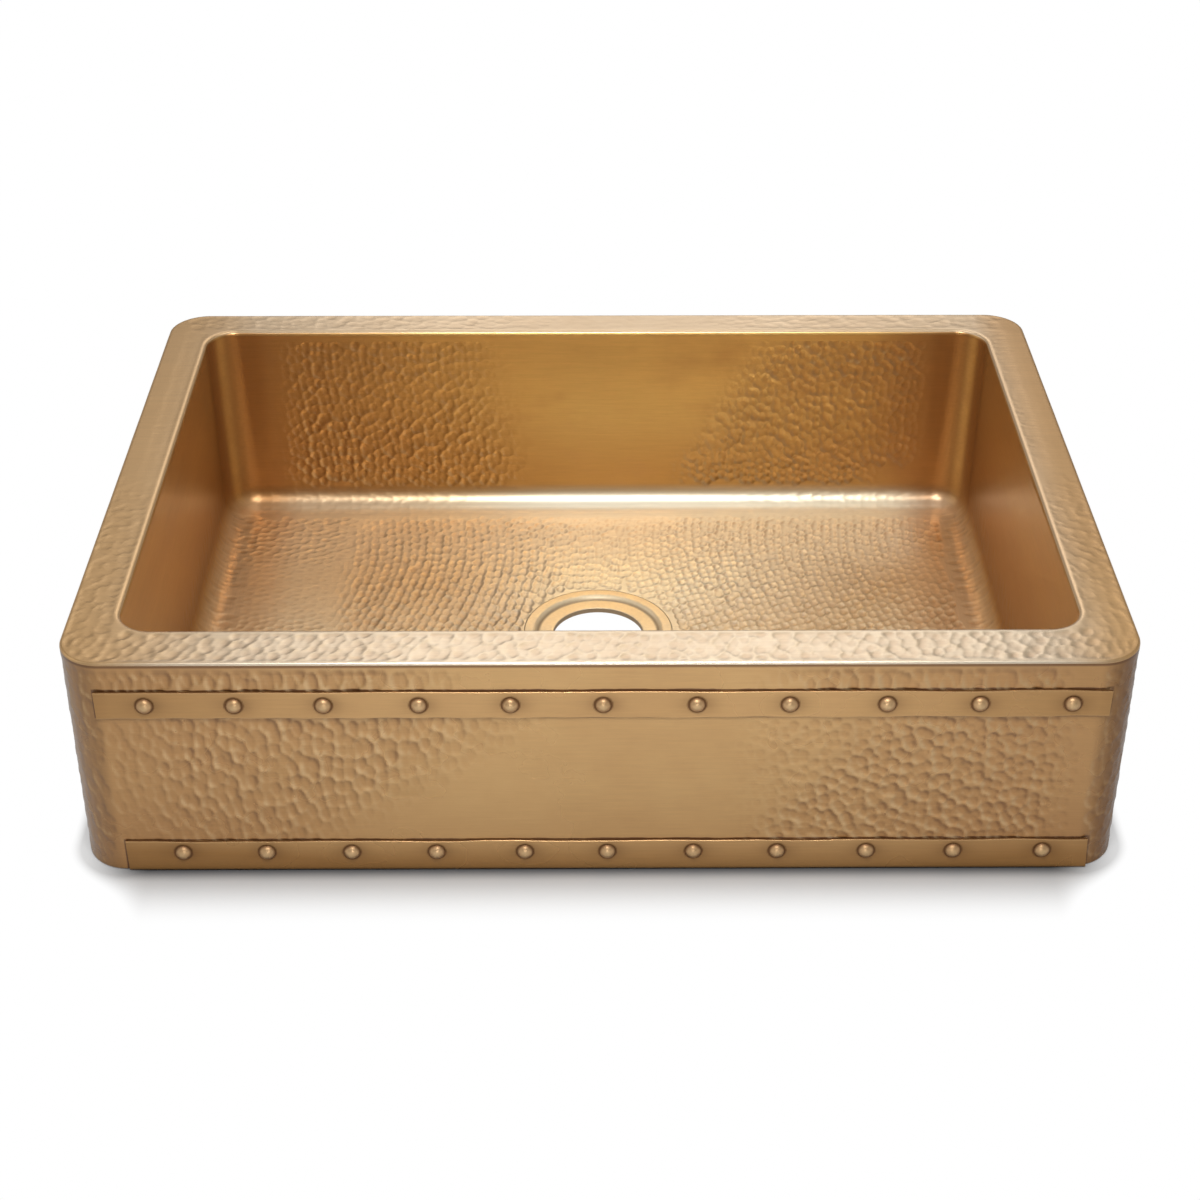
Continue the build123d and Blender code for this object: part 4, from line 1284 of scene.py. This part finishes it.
def strap(name, node, material, seed, lean_left, lean_right):
    """A sheared strap: rounded edges, a slightly wandering outline and a shallow dip round each rivet."""
    low, high = box_mm(node)
    (x0, face, z0), (x1, rear, z1) = low, high
    places = rivet_places(node + "_rivets")
    rng = random.Random(seed)
    wander = fixings().strap_wander / MM
    waves = [(rng.uniform(0, 6.28), rng.uniform(40, 190), rng.uniform(0.4, 1.0)) for _ in range(10)]

    def drift(x, some):
        total = sum(a * math.sin(x / w * 6.28 + p) for p, w, a in some)
        return max(-1.0, min(1.0, total / 2.0)) * wander

    edge, on_ground = STRAP_EDGE, z0 < 5
    bend = STRAP_FOOT_BEND if on_ground else 0.0
    stations, rise = int((x1 - x0) / STRAP_GRID_LONG), int((z1 - z0) / STRAP_GRID_HIGH)
    corner = [(edge - edge * math.sin(a), edge - edge * math.cos(a)) for a in (0.0, 0.4, 0.8, 1.2, 1.5708)]
    points, grime, bright = [], [], []
    for i in range(stations + 1):
        top_x, foot_x = (x0 + left + (x1 - right - x0 - left) * i / stations
                         for left, right in zip(lean_left, lean_right))
        zt = z1 - wander + drift(top_x, waves[:5])
        zb = z0 + (0.0 if on_ground else wander + drift(foot_x, waves[5:]))
        # Each point carries a painted darkness and a brightness: the strap's top and back faces are painted dark, a
        # painted shadow with soiling in the gap along the apron; its rounded corners are lightened for wear and a
        # painted highlight, brighter along the top; its face is a little darker near the ends and round the rivets.
        row = [(rear, zb, 1.0, 0.0)] + [(face + a, zb + b, 0.0, 0.15) for a, b in corner]
        for k in range(1, rise):
            z = zb + edge + (zt - zb - 2 * edge) * k / rise
            share = (z - zb) / (zt - zb)
            x = foot_x + (top_x - foot_x) * share
            dip, dirt_and_shadow = round_rivets(places, x, z)
            near_end = max(0.0, 1 - min(x - x0, x1 - x) / 14)
            ripple = 0.16 * (0.5 + 0.5 * math.sin(x / 27 + 3 * share + seed)) * math.sin(math.pi * share)
            row.append((face + dip + ripple, z, max(dirt_and_shadow, 0.14 * near_end), 0.0))
        row += [(face + b, zt - a, 0.0, 0.25) for a, b in corner]
        row += [(face + edge + 0.15, zt, 0.85, 0.0), (rear, zt, 1.0, 0.0)]
        for y, z, dirt_and_shadow, shine in row:
            share = (z - zb) / (zt - zb)
            if z - zb < bend:
                y = min(rear, y + bend - math.sqrt(bend ** 2 - (bend - (z - zb)) ** 2))
                shine = 0.0
            points.append((foot_x + (top_x - foot_x) * share, y, z))
            grime.append(dirt_and_shadow)
            bright.append(shine)
    n = len(points) // (stations + 1)
    faces = []
    for i in range(stations):
        for j in range(n):
            a, b = i * n + j, i * n + (j + 1) % n
            faces.append((a, a + n, b + n, b))
    faces.append(tuple(range(n)))
    faces.append(tuple(stations * n + j for j in reversed(range(n))))
    return drawn(name, points, faces, 50, material, grime=grime, edge=bright)


class SINK_OT_straps(SinkOperator, bpy.types.Operator):
    """Lays the two sheared straps along the apron"""
    bl_idname = "sink.straps"
    bl_label = "Lay the Straps"

    def build(self):
        material = brass("Strap Brass", (2.5, 60.0, 70.0), tone=0.3, shade=strap_age_and_shade, metal=0.55, streak=0.05,
                         bump=0.0)
        for node, seed, left, right in (
                ("upper_strap", 3, (0.0, 0.3), (0.0, 0.4)),
                ("lower_strap", 5, (0.0, 0.6), (1.6, 0.0))):
            piece = strap(node + "_sheared", node, material, seed, left, right)
            settle(piece, node)


def rivet_pattern():
    """One rivet about the origin, its head towards -Y: dome, shank and closed tail. Gives where its strap's face
    is, too."""
    face = box_mm("upper_strap")[0][1]
    tail = box_mm("upper_strap_rivets")[1][1] - face
    head, radius = fixings().head_height / MM, fixings().head_radius / MM
    ball = (radius ** 2 + head ** 2) / (2 * head)
    widest = math.asin(min(1.0, radius / ball))
    steps, turns = 12, 28
    profile = [(0.0, -head)]
    for k in range(1, steps):
        a = widest * k / steps
        profile.append((ball * math.sin(a), -head + ball * (1 - math.cos(a))))
    profile += [(radius, -0.15), (radius - 0.25, 0.0), (3.0, 0.0), (3.0, tail - 2.4), (5.0, tail - 2.4),
                (4.4, tail - 0.7), (2.8, tail - 0.1), (0.0, tail)]
    rng = random.Random(11)
    bumps = [(rng.uniform(0, 6.28), rng.choice((2, 3, 4)), rng.uniform(0.2, 0.5)) for _ in range(4)]
    points, grime, bright, rings, faces = [], [], [], [], []
    for j, (r, y) in enumerate(profile):
        on_head, at_pole = j <= steps + 1, r == 0.0
        rings.append([len(points) + k for k in range(1 if at_pole else turns)])
        for k in range(len(rings[-1])):
            a = 2 * math.pi * k / turns
            wide = r
            if on_head:
                wide *= 1 - 0.02 + 0.02 * sum(s * math.sin(m * a + p) for p, m, s in bumps) / 1.2
            points.append((wide * math.cos(a), y, wide * math.sin(a)))
            # The head is painted darker towards its border, a painted shade round its base, and the shank dark; its
            # middle gets a painted highlight through the edge attribute.
            grime.append(0.0 if at_pole else soft(r, radius * 0.70, radius) * 0.92 if on_head else 0.6)
            bright.append(0.6 * (1 - soft(r, radius * 0.2, radius * 0.6)))
    for a, b in zip(rings, rings[1:]):
        for k in range(turns):
            k2 = (k + 1) % turns
            if len(a) == 1:
                faces.append((a[0], b[k], b[k2]))
            elif len(b) == 1:
                faces.append((a[k], b[0], a[k2]))
            else:
                faces.append((a[k], b[k], b[k2], a[k2]))
    return drawn("rivet_pattern", points, faces, 45, None, grime=grime, edge=bright), face


class SINK_OT_rivets(SinkOperator, bpy.types.Operator):
    """Sets a row of domed rivets through each strap"""
    bl_idname = "sink.rivets"
    bl_label = "Set the Rivets"

    def build(self):
        material = brass("Rivet Brass", (40.0, 40.0, 40.0), tone=0.3, roughness=0.36, coat=0.1, base=RIVET_BRASS,
                         metal=0.65)
        pattern, face = rivet_pattern()
        tree = rivet_tree()
        for seed, node in enumerate(("upper_strap_rivets", "lower_strap_rivets"), 4):
            dots = bpy.data.meshes.new("rivet_dots")
            dots.from_pydata([(x * MM, face * MM, z * MM) for x, z in rivet_places(node)], [], [])
            mesh = through(tree, put("rivet_dots", dots), node + "_set", {
                "Rivet": pattern, "Unevenness": fixings().unevenness, "Seed": seed, "Finish": material})
            settle(put(node + "_set", mesh), node)
        bpy.data.objects.remove(pattern)


class SINK_OT_hidden_parts(SinkOperator, bpy.types.Operator):
    """Finishes what is out of sight: stiffeners, rails, stays, rivet washers, backing ring and sound pads"""
    bl_idname = "sink.hidden_parts"
    bl_label = "Finish the Hidden Parts"

    def build(self):
        dull = brass("Dull Brass, Frame", (30.0, 30.0, 30.0), tone=0.5, roughness=0.42, coat=0.0)
        pad = rubber("Pad Rubber")
        for name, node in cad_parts.items():
            if node.hide_render:
                continue
            material = pad if name.endswith("_pad") else dull
            if not node.material_slots:
                node.data.materials.append(material)
            for slot in node.material_slots:
                slot.material = material


# ---------------------------------------------------------------- studio
CAMERA_PLACE = (-0.011425, -1.84676, 1.25828)
CAMERA_DOWN, CAMERA_RIGHTWARDS, CAMERA_ROLL = 0.57190, 0.0070, 0.0013
SENSOR_WIDTH, FLOOR_REACH, SEEN_TO = 36.0, 7.0, 50.0
# Floor greys: far out, and close round the sink, where the near and contact greys paint its shadow.
FAR_GREY, NEAR_SHADOW_GREY, CONTACT_SHADOW_GREY = (0.30, 0.30, 0.30), (0.42, 0.42, 0.42), (0.09, 0.092, 0.096)

# Lamps: place, the point it faces, size and brightness.
SOFTBOXES = {
    "back_softbox": ((0.16, 2.35, 1.85), (0.0, 0.0, 0.15), (1.5, 1.4), 0.78),
    "key_softbox": ((0.0, -1.1, 1.55), (0.0, -0.25, 0.15), (0.5, 0.4), 31.0),
    "low_softbox": ((0.0, -1.7, 0.35), (0.0, -0.3, 0.10), (0.5, 0.3), 5.0),
    "top_softbox": ((0.1, 0.55, 2.6), (0.0, 0.1, 0.0), (1.4, 1.3), 1.9),
}

# Soft patches of light on the sky: way round from straight behind (left is minus), height and reach in degrees,
# and brightness at the middle.
SKY_PATCHES = (
    (0, 36, 16, 1.05), (-12, 35, 10, 0.42), (12, 35, 10, 0.42), (0, 55, 18, 0.12),
    (-45, 32, 32, 0.16), (45, 32, 32, 0.16), (-90, 30, 40, 0.75), (90, 30, 40, 0.30),
    (-145, 35, 28, 0.18), (145, 35, 28, 0.12), (0, 90, 32, 0.12),
)
AMBIENT = 0.16


def camera_matrix():
    p, w, r = CAMERA_DOWN, CAMERA_RIGHTWARDS, CAMERA_ROLL
    ahead = Vector((math.sin(w) * math.cos(p), math.cos(w) * math.cos(p), -math.sin(p)))
    right = Vector((math.cos(w), -math.sin(w), 0.0))
    up = right.cross(ahead)
    turned_right = right * math.cos(r) + up * math.sin(r)
    turned_up = up * math.cos(r) - right * math.sin(r)
    turn = Matrix((turned_right, turned_up, -ahead)).transposed().to_4x4()
    return Matrix.Translation(CAMERA_PLACE) @ turn


def floor_finish():
    """Pale floor: seen as white beyond the sink's own shadow, which close to the sink is deepened by a painted contact
    shadow, and duller far out in front; reflections see it painted darker near the sink and towards the sides.
    """
    n = Finish("Studio Floor")
    camera, mirrored = n.rays()
    face, back, corner = APRON_FACE * MM, BACK_FACE * MM, OUTER_RADIUS * MM
    across = abs(n.x)
    out_x = across - (HALF_WIDTH * MM - corner) | 0.0
    out_y = abs(n.y - (face + back) / 2) - ((back - face) / 2 - corner) | 0.0
    away = n.maths("SQRT", out_x * out_x + out_y * out_y, 0.0) - corner
    behind = n.y.step(face + 0.005, face + 0.060) | across.step(0.395, 0.468)
    beyond = (away * behind.spread(0.0, 1.0, 1.0, 4.0)).step(-0.002, 0.075) | behind * 0.45
    shown_white = (camera | mirrored) * (beyond | away.step(-0.004, -0.012))
    far = n.y.step(-0.74, -1.30) | across.step(1.6, 2.8)
    pale = n.mix(far, studio().floor, FAR_GREY)
    # Painted shadow: the floor darkens close round the sink's front and is darkest at the contact line.
    pale = pale.mix(away.step(0.08, -0.002) * behind.spread(0.0, 1.0, 1.0, 0.2), NEAR_SHADOW_GREY)
    pale = pale.mix(away.step(0.018, -0.001) * behind.spread(0.0, 1.0, 1.0, 0.05), CONTACT_SHADOW_GREY)
    unseen = 1.0 - camera
    # What reflections see: duller far out, and a painted shade near the sink and towards the sides.
    glow = n.mix(far * unseen, (1.0, 1.0, 1.0), FAR_GREY)
    glow = glow.mix((away.step(0.34, 0.02) * 0.45 | across.step(0.15, 0.60) * 0.4) * unseen, (0.0, 0.0, 0.0))
    plain = n.value("ShaderNodeBsdfPrincipled", {"Base Color": pale, "Roughness": 0.9, "Specular IOR Level": 0.0})
    white = n.value("ShaderNodeEmission", {"Color": glow, "Strength": 1.0})
    return n.show("ShaderNodeMixShader", {0: shown_white, 1: plain, 2: white})


def surround_light():
    """The studio all round: a dim even sky with soft patches of light on it. The camera sees plain white there, and
    metal shows that white low down, where it is the background."""
    world = bpy.data.worlds.new("Soft Studio")
    bpy.context.scene.world = world
    world.use_nodes = True
    n = Nodes(world.node_tree)
    n.tree.nodes.clear()
    way = n.value("ShaderNodeTexCoord", which="Generated")
    way = n.value("ShaderNodeVectorMath", {0: way}, operation="NORMALIZE")
    sky = AMBIENT
    for around, height, reach, brightness in SKY_PATCHES:
        a, h = math.radians(around), math.radians(height)
        middle = (math.sin(a) * math.cos(h), math.cos(a) * math.cos(h), math.sin(h))
        facing = n.value("ShaderNodeVectorMath", {0: way, 1: middle}, "Value", operation="DOT_PRODUCT")
        sky = facing.step(math.cos(math.radians(reach)), 1.0, 0.0, brightness) + sky
    soft_sky = n.value("ShaderNodeBackground", {0: sky, "Strength": studio().surround})
    white = n.value("ShaderNodeBackground", {0: (1.0, 1.0, 1.0, 1.0)})
    camera, mirrored = n.rays()
    low = n.value("ShaderNodeSeparateXYZ", {0: way}, 2).spread(0.10, 0.02)
    shown = n.value("ShaderNodeMixShader", {0: camera | mirrored * low, 1: soft_sky, 2: white})
    n.add("ShaderNodeOutputWorld", {0: shown})


def softbox(name, place, aim, size, radiance):
    """A rectangular lamp of this size and brightness, turned to face a point."""
    lamp = bpy.data.lights.new(name, "AREA")
    lamp.shape = "RECTANGLE"
    lamp.size, lamp.size_y = size
    lamp.energy = radiance * math.pi * size[0] * size[1]
    obj = put(name, lamp)
    obj.location = place
    obj.rotation_euler = (Vector(aim) - Vector(place)).to_track_quat("-Z", "Y").to_euler()


class SINK_OT_stage(SinkOperator, bpy.types.Operator):
    """Sets the pale floor, the soft studio round it, the lamps and the camera"""
    bl_idname = "sink.stage"
    bl_label = "Set the Stage"

    def build(self):
        scene = bpy.context.scene
        half = FLOOR_REACH
        mesh = bpy.data.meshes.new("studio_floor")
        mesh.from_pydata([(-half, -half, 0), (half, -half, 0), (half, half, 0), (-half, half, 0)], [], [(0, 1, 2, 3)])
        mesh.materials.append(floor_finish())
        put("studio_floor", mesh)
        surround_light()
        for name, settings in SOFTBOXES.items():
            softbox(name, *settings)
        scene.view_settings.view_transform = "Standard"
        data = bpy.data.cameras.new("camera")
        data.lens = studio().lens
        data.sensor_width = SENSOR_WIDTH
        data.clip_end = SEEN_TO
        scene.camera = put("camera", data)
        scene.camera.matrix_world = camera_matrix()


STEPS = (SINK_OT_apron, SINK_OT_skirt, SINK_OT_rim, SINK_OT_bowl, SINK_OT_drain, SINK_OT_straps, SINK_OT_rivets,
         SINK_OT_hidden_parts, SINK_OT_stage)


class SINK_PT_panel(bpy.types.Panel):
    """Lists the steps that dress the sink, and their settings"""
    bl_idname = "SINK_PT_panel"
    bl_label = "Brass Sink"
    bl_space_type = "VIEW_3D"
    bl_region_type = "UI"
    bl_category = "Brass Sink"

    def draw(self, context):
        for name, kind in GROUPS:
            block = self.layout.column(align=True)
            for setting in kind.__annotations__:
                block.prop(getattr(context.scene, name), setting)
        for step in STEPS:
            self.layout.operator(step.bl_idname)


def register():
    for name, group in GROUPS:
        bpy.utils.register_class(group)
        setattr(bpy.types.Scene, name, PointerProperty(type=group))
    for step in (*STEPS, SINK_PT_panel):
        bpy.utils.register_class(step)


def unregister():
    for step in reversed((*STEPS, SINK_PT_panel)):
        bpy.utils.unregister_class(step)
    for name, group in reversed(GROUPS):
        delattr(bpy.types.Scene, name)
        bpy.utils.unregister_class(group)


def main():
    register()
    for step in STEPS:
        group, name = step.bl_idname.split(".")
        getattr(getattr(bpy.ops, group), name)()


if __name__ == "__main__":
    main()
